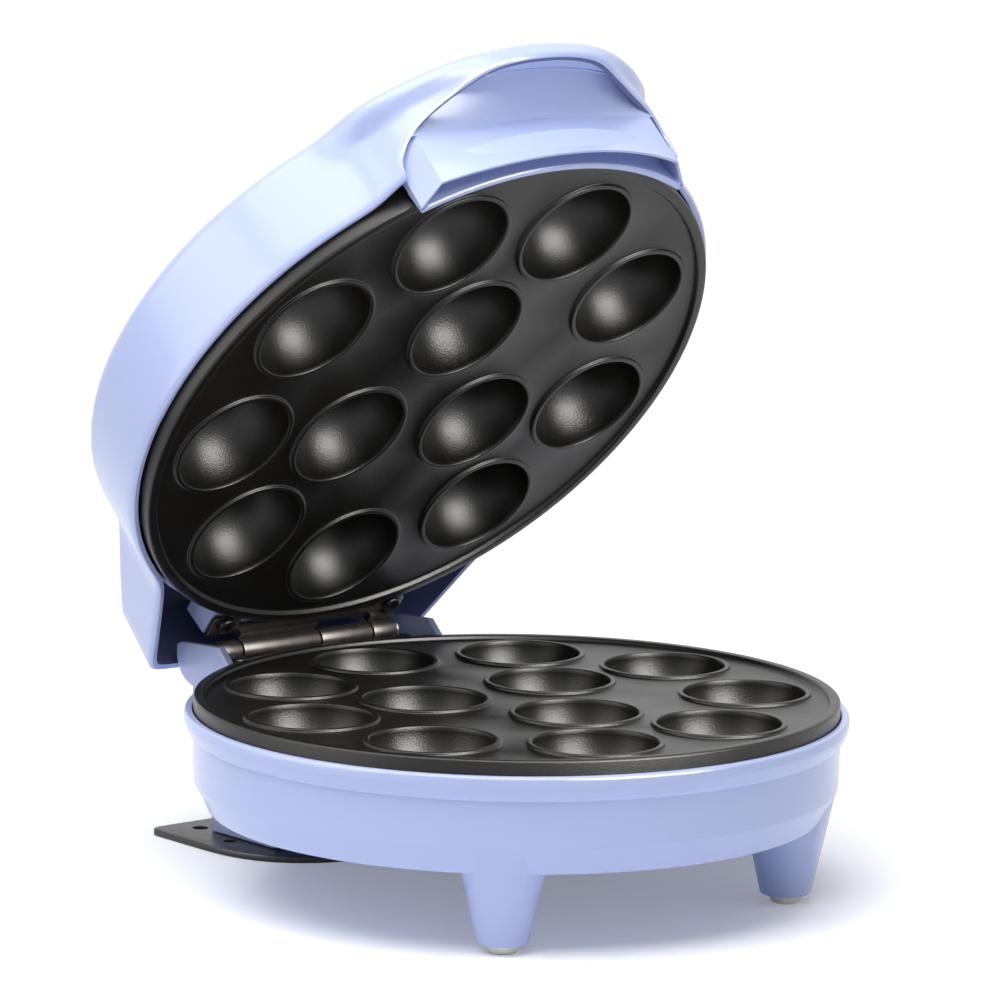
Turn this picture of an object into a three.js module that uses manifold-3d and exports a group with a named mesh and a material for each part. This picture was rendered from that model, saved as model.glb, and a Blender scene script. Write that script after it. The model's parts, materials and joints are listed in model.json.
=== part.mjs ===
// A round table-top maker of twelve cake pops, with its lid standing open.
// Lengths are in millimetres. +X is to the right of someone at the grip, +Y runs to the hinge, +Z is up.
import * as THREE from 'three';
import { mergeVertices } from 'three/addons/utils/BufferGeometryUtils.js';
import Module from 'manifold-3d';

const wasm = await Module();
wasm.setup();

// Driving dimensions
// Heights of the base pieces are drops below the lower plate's rim, and plateLevel is that rim's height.
// Lid pieces are drawn shut in a frame of their own, with its origin in the middle of the upper plate's rim.
const clearance = 0.3;
const overrun = 4;
const plateLevel = 60.9;
const shutGap = 1;
const openAngle = THREE.MathUtils.degToRad(52.9);
const lidSegments = 72;
const roundSegments = 60;
const hiddenSegments = 32;
const smallSegments = 16;
const fineSegments = 10;
const bowSteps = 24;
const sides = [-1, 1];

const plate = { radius: 99.1, rimWidth: 3.5, rimEase: 0.5, faceDrop: 1.5, web: 3, skirt: 9, skirtWall: 2.5 };
const plateMouth = plate.radius + clearance;

// Two rings of cups: edge, ringGap and sideGap are the least metal outside, between and beside them.
const cavity = { radius: 19, wall: 1.55, lipDrop: 0.75, edge: 7.65, ringGap: 1.2, sideGap: 7.3 };
cavity.cup = cavity.radius + cavity.wall;
cavity.outerRing = plate.radius - cavity.edge - cavity.cup;
cavity.innerRing = cavity.outerRing - cavity.ringGap - 2 * cavity.cup;

const shield = { inset: 5.6, thickness: 0.8, cupGap: 3.7, lip: 3, lipFlare: 1.6, hole: 9.5 };
shield.radius = plate.radius - shield.inset;
shield.drop = cavity.lipDrop + cavity.cup + shield.cupGap;

const boss = { inset: 13.1, count: 3, radius: 4.5, bore: 1.9, boreDepth: 9, firstAngle: 30 };
boss.ring = plate.radius - boss.inset;

const thermostat = { radius: 8, height: 7, flange: 10.5, flangeThickness: 0.8, postRadius: 6, shieldGap: 2 };
thermostat.postDrop = shield.drop - thermostat.height - thermostat.shieldGap;

// The heater lies in the valley between the rings of cups, a clearance away from both.
const element = { radius: 3.1, gapAngle: 24, tailAngle: 20, tail: 11, steps: 30, endSteps: 6, sides: 6 };
element.ring = (cavity.outerRing + cavity.innerRing) / 2;
element.cupDistance = cavity.cup + element.radius + clearance;
element.drop = cavity.lipDrop + Math.sqrt(element.cupDistance ** 2 - (cavity.cup + cavity.ringGap / 2) ** 2);

const housing = {
  rimWall: 2.6, rimDrop: 4.4, rimEase: 1.3, bandStep: 2.6, bandDrop: 11.2, bandTaper: 1.3, wallTaper: 0.5,
  floorStep: 5, floorSpace: 9.5, floorRise: 9, floorEase: 0.9, wall: 2.2,
};
housing.rimRadius = plateMouth + housing.rimWall;
housing.wallRadius = housing.rimRadius - housing.bandStep;
housing.mouthDrop = plate.skirt + clearance;
housing.floorRadius = housing.wallRadius - housing.floorStep;
housing.floorDrop = shield.drop + shield.thickness + housing.floorSpace;
housing.breakDrop = housing.floorDrop - housing.floorRise;

const pad = { radius: 5.3, footRadius: 4.4, height: 2.7, recess: 1.6 };
const leg = {
  floorInset: 10.466, spreadAngle: 48.334, tipRadius: 8, tipEase: 1.2, draft: 0.211,
  rootRise: 11.3, wall: 2.2,
};
leg.ring = housing.floorRadius - leg.floorInset;
leg.x = leg.ring * Math.cos(THREE.MathUtils.degToRad(leg.spreadAngle));
leg.y = -leg.ring * Math.sin(THREE.MathUtils.degToRad(leg.spreadAngle));
leg.tipDrop = plateLevel - pad.height;
leg.rootDrop = housing.floorDrop - leg.rootRise;

const hinge = {
  standoff: 5.5, drop: 0.4, barrel: 3.5, bore: 1.9, pinRadius: 1.6, pinHead: 2.6, pinHeadLength: 1.2,
};
hinge.y = housing.rimRadius + hinge.standoff;

// Where the rear pieces lie along Y, as steps in front of the hinge line or behind it.
const hingeSteps = {
  footFront: -50.2, lamps: -49.5, fuse: -47.5, standFront: -29.5, blockFront: -27.5, cowlSide: -18.6,
  earFront: -17.3, deckFront: -15.5, terminal: -15.5, earTop: -12.5, footScrew: -12.5, leafTab: -11.7,
  frontHole: -11, hingeScrew: -9, footMiddle: -7.5, leafFront: -7.1, leafWeb: -5.3, leafBand: -4.1,
  deckBack: -3.9, blockBack: 1.4, standBack: 4.5, earBack: 7.3, backHole: 10, cowlBack: 12.8, footBack: 20.1,
};
const rear = Object.fromEntries(Object.entries(hingeSteps).map(([name, step]) => [name, hinge.y + step]));

const rearBlock = { halfWidth: 43, sink: 0.7, wall: 2.2, deck: 2.6 };
rearBlock.bottomDrop = housing.floorDrop + rearBlock.sink;
const ear = { thickness: 2.5, frontDrop: 0.2, top: 4.3, backTop: 3.2, arcTop: 2.2, reach: 9.9, rootDrop: 16 };
const stand = { halfWidth: 33.5, cornerRadius: 2, wall: 2.2 };
const footPlate = {
  halfWidth: 46, cornerRadius: 4, thickness: 2.2, bevel: 0.6, squareness: 2.5,
  backHoleInset: 13, backHoleRadius: 2.6, frontHoleInset: 9, frontHoleRadius: 2.2,
};
stand.footDrop = plateLevel - footPlate.thickness - clearance;
const footScrew = {
  x: 20, headRadius: 3.6, headHeight: 1.4, radius: 1.5, length: 11, bossRadius: 4, bossHeight: 8,
};
const gland = { drop: 24, radius: 7.5, flange: 1.8, neckRadius: 4.9, bore: 3.2, tail: 1 };
const wirePort = { halfWidth: 10, top: 20, bottom: 31, floorReach: 6.6 };
const terminal = { sideGap: 1, depth: 15, height: 11, screwRadius: 2.2, screwCount: 3, screwDepth: 4 };
terminal.width = 2 * (footScrew.x - footScrew.bossRadius - terminal.sideGap);
const fuse = { radius: 2, length: 24, x: 26, clipHeight: 4, clipWidth: 6, clipWall: 1.2 };
const baseScrew = { radius: 1.6, headRadius: 3.4, headHeight: 1.8, reach: 8 };

// The knuckles of the two leaves take turns along the pin, from one joint to the next.
const leaf = { sideGap: 2.5, thickness: 1.6, tabWidth: 11 };
leaf.halfWidth = rearBlock.halfWidth - ear.thickness - leaf.sideGap;
const knuckleShares = [-0.934, -0.689, 0.129, 0.679, 0.934];
const knuckleJoints = knuckleShares.map((share) => share * leaf.halfWidth);
const hingeScrew = { edge: 5, radius: 1.5, headRadius: 3, headHeight: 1.7, length: 9, bossRadius: 4 };
hingeScrew.x = leaf.halfWidth - hingeScrew.edge;

const lid = {
  overhang: 0.3, rimRise: 4.4, rimEase: 1.4, shoulderStep: 2, fillet: 4, height: 51.2, wall: 2.3,
  ringWall: 2.2, ringRise: 24,
};
const dome = { edgeInset: 4.3, edgeDrop: 13.6, fullness: 2.05 };
lid.outerRadius = housing.rimRadius + lid.overhang;
lid.shoulderRadius = lid.outerRadius - lid.shoulderStep;
lid.shoulderRise = lid.height - dome.edgeDrop - lid.fillet;
dome.edgeRadius = lid.outerRadius - dome.edgeInset;
// The nose stands out from the round wall by shares of its reach, given every few degrees from the front.
const nose = {
  reach: 22.4, stepAngle: 5, waistShare: 0.69,
  highShares: [0.98, 0.97, 0.95, 0.88, 0.77, 0.64, 0.48, 0.15, 0],
  lowShares: [1, 0.99, 0.92, 0.74, 0.58, 0.46, 0.25, 0.05, 0],
};
const cowl = { cornerOut: 9, sideOut: 19.5, blend: 3 };
cowl.cornerX = rearBlock.halfWidth + cowl.cornerOut;
cowl.sideX = rearBlock.halfWidth + cowl.sideOut;
const hingeDeck = { margin: 0.6, top: 15 };
hingeDeck.halfWidth = leaf.halfWidth + hingeDeck.margin;

// The grip's band runs from its lower edge to its upper one; each edge turns back to the shell at its ends.
const handle = {
  drop: 5, endLift: 2, flare: 6.4, cornerX: 46, endStep: 4.4, endStandoff: 1.2,
  topRise: 16.7, topEndDrop: 1.7, topInset: 0.7, topSag: 1.2, topDraw: 0.5, topEndStandoff: 3.48,
  skirtWall: 2.2, slotWidth: 2.2, slotDepth: 6, slotInset: 2, steps: 14,
};
handle.endX = handle.cornerX + handle.endStep;
handle.topY = lid.outerRadius - handle.topInset;
const arch = { margin: 2.6, crown: 20.8, squareness: 6, sill: 12 };
arch.halfWidth = handle.endX + arch.margin;
const scoop = {
  backRise: 20, roofOut: 6.7, roofRise: 23.4, frontInset: 3.5, frontRise: 21.2, thickness: 1.5, curveSteps: 6,
};
const lamp = {
  x: 9, radius: 3.2, flange: 4.2, flangeHeight: 0.8, lensHeight: 3, bulbRadius: 2.3, bulbLength: 9,
};

// Colours and finishes
const finishes = {
  shell: { color: 0xb9c2ec, roughness: 0.3, metalness: 0 },
  plate: { color: 0x2b2c2e, roughness: 0.5, metalness: 0.35 },
  steel: { color: 0x9a9a98, roughness: 0.35, metalness: 0.9 },
  darkSteel: { color: 0x4a4643, roughness: 0.4, metalness: 0.8 },
  black: { color: 0x1c1c1e, roughness: 0.45, metalness: 0 },
  rubber: { color: 0xe8e4d3, roughness: 0.8, metalness: 0 },
  ceramic: { color: 0xe6e1d6, roughness: 0.7, metalness: 0 },
  redLens: { color: 0xb3201c, roughness: 0.2, metalness: 0 },
  greenLens: { color: 0x2f9a4a, roughness: 0.2, metalness: 0 },
};

// Solids and meshes
const materials = Object.fromEntries(
  Object.entries(finishes).map(([name, values]) => [name, new THREE.MeshStandardMaterial(values)]),
);

function solidOf(geometry) {
  const bare = geometry.clone();
  bare.deleteAttribute('normal');
  bare.deleteAttribute('uv');
  const merged = mergeVertices(bare);
  return new wasm.Manifold(new wasm.Mesh({
    numProp: 3,
    vertProperties: new Float32Array(merged.attributes.position.array),
    triVerts: new Uint32Array(merged.index.array),
  }));
}

function geometryOf(solid) {
  const mesh = solid.getMesh();
  const geometry = new THREE.BufferGeometry();
  geometry.setAttribute('position', new THREE.BufferAttribute(mesh.vertProperties, 3));
  geometry.setIndex(new THREE.BufferAttribute(mesh.triVerts, 1));
  geometry.computeVertexNormals();
  return geometry;
}

function joined(solids) {
  return solids.reduce((whole, piece) => whole.add(piece));
}

function piece(name, solid, finish) {
  const mesh = new THREE.Mesh(geometryOf(solid), materials[finish]);
  mesh.name = name;
  return mesh;
}

// A profile of [radius, height] pairs turned about the vertical axis, up the outside and back to the axis.
function turnedGeometry(profile, segments = roundSegments) {
  const points = profile.map(([radius, height]) => new THREE.Vector2(radius, height));
  return new THREE.LatheGeometry(points, segments).rotateX(Math.PI / 2);
}

function turned(profile, segments = roundSegments) {
  return solidOf(turnedGeometry(profile, segments));
}

function ring(inner, outer, bottom, top, segments = roundSegments) {
  return turned([[inner, bottom], [outer, bottom], [outer, top], [inner, top], [inner, bottom]], segments);
}

function post(radius, bottom, top, x = 0, y = 0, segments = smallSegments) {
  return turned([[0, bottom], [radius, bottom], [radius, top], [0, top]], segments).translate([x, y, 0]);
}

// A box given by its low and high corner.
function box([x0, y0, z0], [x1, y1, z1]) {
  const geometry = new THREE.BoxGeometry(x1 - x0, y1 - y0, z1 - z0);
  geometry.translate((x0 + x1) / 2, (y0 + y1) / 2, (z0 + z1) / 2);
  return solidOf(geometry);
}

// A flat outline pushed up from a level.
function raised(shape, bottom, height) {
  const geometry = new THREE.ExtrudeGeometry(shape, { depth: height, bevelEnabled: false, curveSegments: 8 });
  return solidOf(geometry.translate(0, 0, bottom));
}

// An outline drawn with Y across and Z up, pushed along X from x0 to x1.
function acrossX(shape, x0, x1) {
  const geometry = new THREE.ExtrudeGeometry(shape, { depth: x1 - x0, bevelEnabled: false, curveSegments: 12 });
  geometry.rotateY(Math.PI / 2).rotateX(Math.PI / 2);
  return solidOf(geometry.translate(x0, 0, 0));
}

function outline(points) {
  return new THREE.Shape(points.map(([across, up]) => new THREE.Vector2(across, up)));
}

// A cylinder lying along X about the hinge line.
function barrel(radius, x0, x1, y, z) {
  const profile = [[0, x0], [radius, x0], [radius, x1], [0, x1]];
  const geometry = turnedGeometry(profile, smallSegments).rotateY(Math.PI / 2);
  return solidOf(geometry.translate(0, y, z));
}

function spots(count, radius, firstAngle) {
  return Array.from({ length: count }, (_, index) => {
    const angle = THREE.MathUtils.degToRad(firstAngle) + (2 * Math.PI * index) / count;
    return [radius * Math.cos(angle), radius * Math.sin(angle)];
  });
}

// How many cups fit round a ring.
function cupCount(ringRadius) {
  const half = cavity.cup + cavity.sideGap / 2;
  return ringRadius > half ? Math.floor(Math.PI / Math.asin(half / ringRadius)) : 0;
}

// Two copies of a solid, as far to the left as to the right.
function pair(solid, x, y) {
  return sides.map((side) => solid.translate([side * x, y, 0]));
}

const bossSpots = spots(boss.count, boss.ring, boss.firstAngle);
const cavitySpots = [
  ...spots(cupCount(cavity.outerRing), cavity.outerRing, 90),
  ...spots(cupCount(cavity.innerRing), cavity.innerRing, 270),
];

// Cast plate: both plates are alike, drawn with their rim at zero and their cups hanging down.
function halfBall(radius, level, rings, top, segments) {
  const profile = [];
  for (let step = 0; step <= rings; step += 1) {
    const angle = (Math.PI / 2) * (step / rings);
    profile.push([radius * Math.sin(angle), level - radius * Math.cos(angle)]);
  }
  profile.push([radius, top], [0, top]);
  return turned(profile, segments);
}

function castPlate() {
  const { radius, rimWidth, rimEase, faceDrop, web, skirt, skirtWall } = plate;
  const underside = -faceDrop - web;
  const rimInside = radius - rimWidth;
  const disc = turned([
    [0, underside], [radius - skirtWall, underside], [radius - skirtWall, -skirt], [radius, -skirt],
    [radius, -rimEase], [radius - rimEase, 0], [rimInside, 0], [rimInside - rimEase, -faceDrop],
    [0, -faceDrop],
  ]);
  const cup = halfBall(cavity.cup, -cavity.lipDrop, 3, -cavity.lipDrop, fineSegments);
  const hollow = halfBall(cavity.radius, -cavity.lipDrop, 4, overrun, smallSegments);
  const bossFoot = -shield.drop + clearance;
  const bosses = bossSpots.map(([x, y]) => post(boss.radius, bossFoot, underside + web / 2, x, y));
  const sensorPost = post(thermostat.postRadius, -thermostat.postDrop, underside + web / 2);
  const bores = bossSpots.map(([x, y]) => (
    post(boss.bore, -shield.drop - overrun, -shield.drop + boss.boreDepth, x, y, fineSegments)
  ));
  const cups = cavitySpots.map(([x, y]) => cup.translate([x, y, 0]));
  const hollows = cavitySpots.map(([x, y]) => hollow.translate([x, y, 0]));
  const cuts = joined([...hollows, ...bores]);
  return joined([disc, ...cups, ...bosses, sensorPost]).subtract(cuts);
}

// Sheathed heater: one turn in the valley between the two rings of cups, with its ends bent down at the back.
const tailAngles = [1, -1].map((side) => (
  Math.PI / 2 + THREE.MathUtils.degToRad(element.tailAngle + (side * element.gapAngle) / 2)
));

function heater() {
  const [start, end] = tailAngles;
  const turn = 2 * Math.PI + end - start;
  const bend = element.drop + element.tail / 2;
  const foot = element.drop + element.tail;
  const at = (angle, drop) => (
    new THREE.Vector3(element.ring * Math.cos(angle), element.ring * Math.sin(angle), -drop)
  );
  const points = [at(start, foot), at(start, bend)];
  for (let step = 1; step < element.steps; step += 1) {
    points.push(at(start + (turn * step) / element.steps, element.drop));
  }
  points.push(at(end, bend), at(end, foot));
  const corners = spots(element.sides, element.radius, 0).map(([x, y]) => new THREE.Vector2(x, y));
  return solidOf(new THREE.ExtrudeGeometry(new THREE.Shape(corners), {
    steps: element.steps + element.endSteps, bevelEnabled: false,
    extrudePath: new THREE.CatmullRomCurve3(points),
  }));
}

// Pressed heat shield behind the cups, clamped at the three bosses.
function heatShield() {
  const { radius, thickness, drop, lip, lipFlare, hole } = shield;
  const dish = turned([
    [0, -drop - thickness], [radius, -drop - thickness], [radius + lipFlare, -drop + lip],
    [radius + lipFlare - thickness, -drop + lip], [radius - thickness, -drop], [0, -drop],
  ], hiddenSegments);
  const bore = post(boss.bore, -drop - overrun, -drop + overrun, 0, 0, fineSegments);
  const bores = bossSpots.map(([x, y]) => bore.translate([x, y, 0]));
  const port = post(hole / 2, -drop - overrun, -drop + overrun);
  const ports = tailAngles.map((angle) => (
    port.translate([element.ring * Math.cos(angle), element.ring * Math.sin(angle), 0])
  ));
  return dish.subtract(joined([...bores, ...ports]));
}

// Disc thermostat under the middle of the plate.
function discThermostat() {
  const top = -thermostat.postDrop - clearance;
  const { radius, height, flange, flangeThickness } = thermostat;
  return turned([
    [0, top - height], [radius, top - height], [radius, top - flangeThickness],
    [flange, top - flangeThickness], [flange, top], [0, top],
  ], smallSegments);
}

// A pan-head screw with its head's underside at zero and its shank pointing up.
function panScrew({ radius, headRadius, headHeight, length }) {
  const ease = headHeight / 3;
  return turned([
    [0, -headHeight], [headRadius - ease, -headHeight], [headRadius, -headHeight + ease], [headRadius, 0],
    [radius, 0], [radius, length], [0, length],
  ], fineSegments);
}

// Base housing: a round bowl with a rolled rim, a rear block for the hinge, two front legs and a rear stand.
function housingOuter() {
  const { rimRadius, rimDrop, rimEase, bandDrop, bandTaper, wallRadius, wallTaper, breakDrop } = housing;
  const { floorRadius, floorDrop, floorEase } = housing;
  const breakRadius = wallRadius - wallTaper;
  return turned([
    [0, -floorDrop], [floorRadius - floorEase, -floorDrop], [floorRadius + floorEase, -floorDrop + floorEase],
    [breakRadius - floorEase, -breakDrop - 3 * floorEase], [breakRadius, -breakDrop],
    [wallRadius, -bandDrop - rimEase / 2],
    [rimRadius - bandTaper, -bandDrop], [rimRadius - bandTaper / 5, -(bandDrop + rimDrop) / 2],
    [rimRadius, -rimDrop - rimEase], [rimRadius - rimEase / 3, -rimDrop - rimEase / 3],
    [rimRadius - rimEase, -rimDrop], [0, -rimDrop],
  ]);
}

function housingInner() {
  const { wallRadius, wallTaper, breakDrop, floorRadius, floorDrop, wall, mouthDrop } = housing;
  return turned([
    [0, -floorDrop + wall], [floorRadius - wall, -floorDrop + wall],
    [wallRadius - wallTaper - wall, -breakDrop],
    [wallRadius - wall, -mouthDrop - wall], [plateMouth, -mouthDrop], [plateMouth, overrun + ear.top],
    [0, overrun + ear.top],
  ]);
}

function legSolid(inset, bottomDrop) {
  const { tipRadius, tipEase, draft, rootDrop } = leg;
  const root = tipRadius + draft * (bottomDrop - rootDrop) - inset;
  const tip = tipRadius - inset;
  return turned([
    [0, -bottomDrop], [tip - tipEase, -bottomDrop], [tip, -bottomDrop + tipEase], [root, -rootDrop],
    [0, -rootDrop],
  ], smallSegments + fineSegments);
}

function padRecess() {
  return post(pad.radius + clearance, -leg.tipDrop - overrun, -leg.tipDrop + pad.recess);
}

// The hinge block and its ears end in an arc about the hinge line, so that the cowl's lip swings past them.
function hingeArc(shape, top) {
  const from = Math.asin((top + hinge.drop) / ear.reach);
  const to = -Math.acos((rear.blockBack - hinge.y) / ear.reach);
  shape.absarc(hinge.y, -hinge.drop, ear.reach, from, to, true);
}

function earOutline() {
  const shape = new THREE.Shape();
  shape.moveTo(rear.earFront - ear.thickness, -ear.rootDrop);
  shape.lineTo(rear.earFront, -ear.frontDrop);
  shape.lineTo(rear.earTop, ear.top);
  shape.lineTo(rear.earBack, ear.backTop);
  hingeArc(shape, ear.arcTop);
  shape.lineTo(rear.blockBack, -ear.rootDrop);
  return shape;
}

function blockOutline() {
  const shape = new THREE.Shape();
  shape.moveTo(rear.blockFront, -rearBlock.bottomDrop);
  shape.lineTo(rear.blockFront, -housing.rimDrop);
  hingeArc(shape, -housing.rimDrop);
  shape.lineTo(rear.blockBack, -rearBlock.bottomDrop);
  return shape;
}

function standSolid(inset, bottomDrop, topDrop) {
  const side = stand.halfWidth - inset;
  const front = rear.standFront + inset;
  const back = rear.standBack - inset;
  const round = stand.cornerRadius;
  const shape = new THREE.Shape();
  shape.moveTo(-side, front);
  shape.lineTo(side, front);
  shape.lineTo(side, back - round);
  shape.absarc(side - round, back - round, round, 0, Math.PI / 2, false);
  shape.lineTo(-side + round, back);
  shape.absarc(-side + round, back - round, round, Math.PI / 2, Math.PI, false);
  return raised(shape, -bottomDrop, bottomDrop - topDrop);
}

function housingBody() {
  const { halfWidth, bottomDrop, wall } = rearBlock;
  const ears = sides.map((side) => {
    const faces = [side * halfWidth, side * (halfWidth - ear.thickness)];
    return acrossX(earOutline(), Math.min(...faces), Math.max(...faces));
  });
  const block = acrossX(blockOutline(), -halfWidth, halfWidth);
  const foot = standSolid(0, stand.footDrop, bottomDrop - wall);
  const legs = pair(legSolid(0, leg.tipDrop), leg.x, leg.y);
  return joined([housingOuter(), block, foot, ...ears, ...legs]);
}

function housingHollows() {
  const { halfWidth, bottomDrop, wall, deck } = rearBlock;
  const innerX = halfWidth - ear.thickness;
  const innerY = rear.blockBack - wall;
  const floorReach = housing.floorRadius - wirePort.floorReach;
  const legHollows = pair(legSolid(leg.wall, leg.tipDrop - pad.recess - leg.wall), leg.x, leg.y);
  const recesses = pair(padRecess(), leg.x, leg.y);
  const bowlSide = post(housing.wallRadius, -bottomDrop - overrun, overrun, 0, 0, roundSegments);
  const blockHollow = box(
    [-innerX, rear.blockFront, -bottomDrop + wall], [innerX, innerY, -housing.rimDrop - deck],
  );
  const link = box(
    [-footScrew.x, housing.wallRadius + wall, -bottomDrop - 2 * wall],
    [footScrew.x, innerY, -bottomDrop + 2 * wall],
  );
  const standHollow = standSolid(stand.wall, stand.footDrop - stand.wall, housing.floorDrop);
  const port = box(
    [-wirePort.halfWidth, floorReach, -wirePort.bottom], [wirePort.halfWidth, innerY, -wirePort.top],
  );
  return joined([
    housingInner(), ...legHollows, ...recesses, blockHollow.subtract(bowlSide), link, standHollow, port,
    glandBore(gland.neckRadius + clearance),
  ]);
}

function housingBosses() {
  const bossTop = -shield.drop - shield.thickness - clearance;
  const plateBoss = post(boss.radius, -housing.floorDrop + housing.wall / 2, bossTop);
  const deckBottom = -housing.rimDrop - rearBlock.deck;
  const deckMiddle = deckBottom + rearBlock.deck / 2;
  const hingeBoss = post(hingeScrew.bossRadius, deckBottom - hingeScrew.length, deckMiddle);
  const standFloor = -stand.footDrop + stand.wall;
  const footBoss = post(footScrew.bossRadius, standFloor - stand.wall / 2, standFloor + footScrew.bossHeight);
  return joined([
    ...bossSpots.map(([x, y]) => plateBoss.translate([x, y, 0])),
    ...pair(hingeBoss, hingeScrew.x, rear.hingeScrew),
    ...pair(footBoss, footScrew.x, rear.footScrew),
  ]);
}

function housingBores() {
  const plateBore = joined([
    post(boss.bore, -housing.floorDrop - overrun, overrun, 0, 0, fineSegments),
    post(baseScrew.headRadius + clearance, -housing.floorDrop - overrun, screwSeat()),
  ]);
  const hingeDepth = -housing.rimDrop - hingeScrew.length;
  const hingeBore = post(hingeScrew.radius + clearance, hingeDepth, overrun, 0, 0, fineSegments);
  const footDepth = -stand.footDrop + footScrew.bossHeight + overrun;
  const footBore = post(footScrew.radius + clearance, -plateLevel, footDepth, 0, 0, fineSegments);
  return joined([
    ...bossSpots.map(([x, y]) => plateBore.translate([x, y, 0])),
    ...pair(hingeBore, hingeScrew.x, rear.hingeScrew),
    ...pair(footBore, footScrew.x, rear.footScrew),
  ]);
}

function baseHousing() {
  return housingBody().subtract(housingHollows()).add(housingBosses()).subtract(housingBores());
}

function screwSeat() {
  return -housing.floorDrop + baseScrew.headHeight + clearance;
}

function glandBore(radius) {
  const profile = [[0, -overrun], [radius, -overrun], [radius, overrun], [0, overrun]];
  const geometry = turnedGeometry(profile, smallSegments).rotateX(-Math.PI / 2);
  return solidOf(geometry).translate([0, rear.blockBack, -gland.drop]);
}

function cordGland() {
  const { radius, flange, neckRadius, bore, tail } = gland;
  const inside = -rearBlock.wall - tail;
  const outside = clearance + flange;
  const geometry = turnedGeometry([
    [bore, inside], [neckRadius, inside], [neckRadius, clearance], [radius, clearance],
    [radius, outside - flange / 3], [radius - flange / 3, outside], [bore, outside], [bore, inside],
  ], smallSegments);
  return solidOf(geometry.rotateX(-Math.PI / 2)).translate([0, rear.blockBack, -gland.drop]);
}

function rubberPad() {
  const top = -leg.tipDrop + pad.recess - clearance;
  const ease = (pad.radius - pad.footRadius) / 2;
  return turned([
    [0, -plateLevel], [pad.footRadius, -plateLevel], [pad.footRadius + ease, -plateLevel + ease],
    [pad.radius, -leg.tipDrop - ease], [pad.radius, top], [0, top],
  ], smallSegments);
}

function footOutline() {
  const { halfWidth, bevel, cornerRadius, squareness } = footPlate;
  const side = halfWidth - bevel;
  const back = rear.footBack - bevel - cornerRadius;
  const reach = rear.footMiddle - rear.footFront - bevel;
  const bent = (value) => Math.sign(value) * Math.abs(value) ** (2 / squareness);
  const shape = new THREE.Shape();
  shape.moveTo(side, rear.footMiddle);
  shape.lineTo(side, back);
  shape.absarc(side - cornerRadius, back, cornerRadius, 0, Math.PI / 2, false);
  shape.absarc(-side + cornerRadius, back, cornerRadius, Math.PI / 2, Math.PI, false);
  for (let step = 0; step < bowSteps; step += 1) {
    const angle = Math.PI + (Math.PI * step) / bowSteps;
    shape.lineTo(side * bent(Math.cos(angle)), rear.footMiddle + reach * bent(Math.sin(angle)));
  }
  return shape;
}

function rearFootPlate() {
  const { halfWidth, thickness, bevel } = footPlate;
  const { backHoleInset, backHoleRadius, frontHoleInset, frontHoleRadius } = footPlate;
  const geometry = new THREE.ExtrudeGeometry(footOutline(), {
    depth: thickness - 2 * bevel, bevelEnabled: true, bevelThickness: bevel, bevelSize: bevel,
    bevelSegments: 1, curveSegments: 5,
  });
  const slab = solidOf(geometry.translate(0, 0, -plateLevel + bevel));
  const through = (radius) => post(radius, -plateLevel - overrun, -plateLevel + overrun);
  const socket = post(footScrew.headRadius + clearance, -plateLevel - overrun, footScrewSeat());
  const cuts = [
    ...pair(through(backHoleRadius), halfWidth - backHoleInset, rear.backHole),
    ...pair(through(frontHoleRadius), halfWidth - frontHoleInset, rear.frontHole),
    ...pair(through(footScrew.radius + clearance), footScrew.x, rear.footScrew),
    ...pair(socket, footScrew.x, rear.footScrew),
  ];
  return slab.subtract(joined(cuts));
}

function footScrewSeat() {
  return -plateLevel + footScrew.headHeight + clearance;
}

function terminalBlock() {
  const { width, depth, height, screwRadius, screwCount, screwDepth } = terminal;
  const y = rear.terminal;
  const floor = -stand.footDrop + stand.wall + clearance;
  const top = floor + height;
  const pitch = width / screwCount;
  const body = box([-width / 2, y - depth / 2, floor], [width / 2, y + depth / 2, top]);
  const bores = Array.from({ length: screwCount }, (_, index) => (
    post(screwRadius, top - screwDepth, top + overrun, (index - (screwCount - 1) / 2) * pitch, y)
  ));
  return body.subtract(joined(bores));
}

// Thermal fuse lying in a spring clip on the floor of the bowl.
function fuseLevel() {
  return -housing.floorDrop + housing.wall + clearance + fuse.clipWall + clearance + fuse.radius;
}

function thermalFuse() {
  const { length, radius, x } = fuse;
  return barrel(radius, x - length / 2, x + length / 2, rear.fuse, fuseLevel());
}

function fuseClip() {
  const { radius, clipWall, clipWidth, clipHeight, x } = fuse;
  const inside = radius + clearance;
  const outside = inside + clipWall;
  const bottom = fuseLevel() - outside;
  const outer = box([-clipWidth / 2, -outside, bottom], [clipWidth / 2, outside, bottom + clipHeight]);
  const innerTop = bottom + clipHeight + overrun;
  const inner = box([-clipWidth, -inside, bottom + clipWall], [clipWidth, inside, innerTop]);
  return outer.subtract(inner).translate([x, rear.fuse, 0]);
}

// Hinge: two steel leaves with rolled knuckles on one pin.
function leafOutline() {
  const inner = leaf.halfWidth - leaf.tabWidth;
  return outline([
    [-leaf.halfWidth, rear.leafTab], [-inner, rear.leafTab], [-inner, rear.leafFront],
    [inner, rear.leafFront], [inner, rear.leafTab], [leaf.halfWidth, rear.leafTab],
    [leaf.halfWidth, rear.leafBand], [-leaf.halfWidth, rear.leafBand],
  ]);
}

// The ends of each second knuckle along the pin, starting with the first or the second one.
function knuckleSpans(first) {
  const last = knuckleJoints.length - 1;
  return knuckleJoints.slice(0, last)
    .map((start, index) => [
      index === 0 ? start : start + clearance,
      index === last - 1 ? knuckleJoints[last] : knuckleJoints[index + 1] - clearance,
    ])
    .filter((_, index) => index % 2 === first);
}

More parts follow.
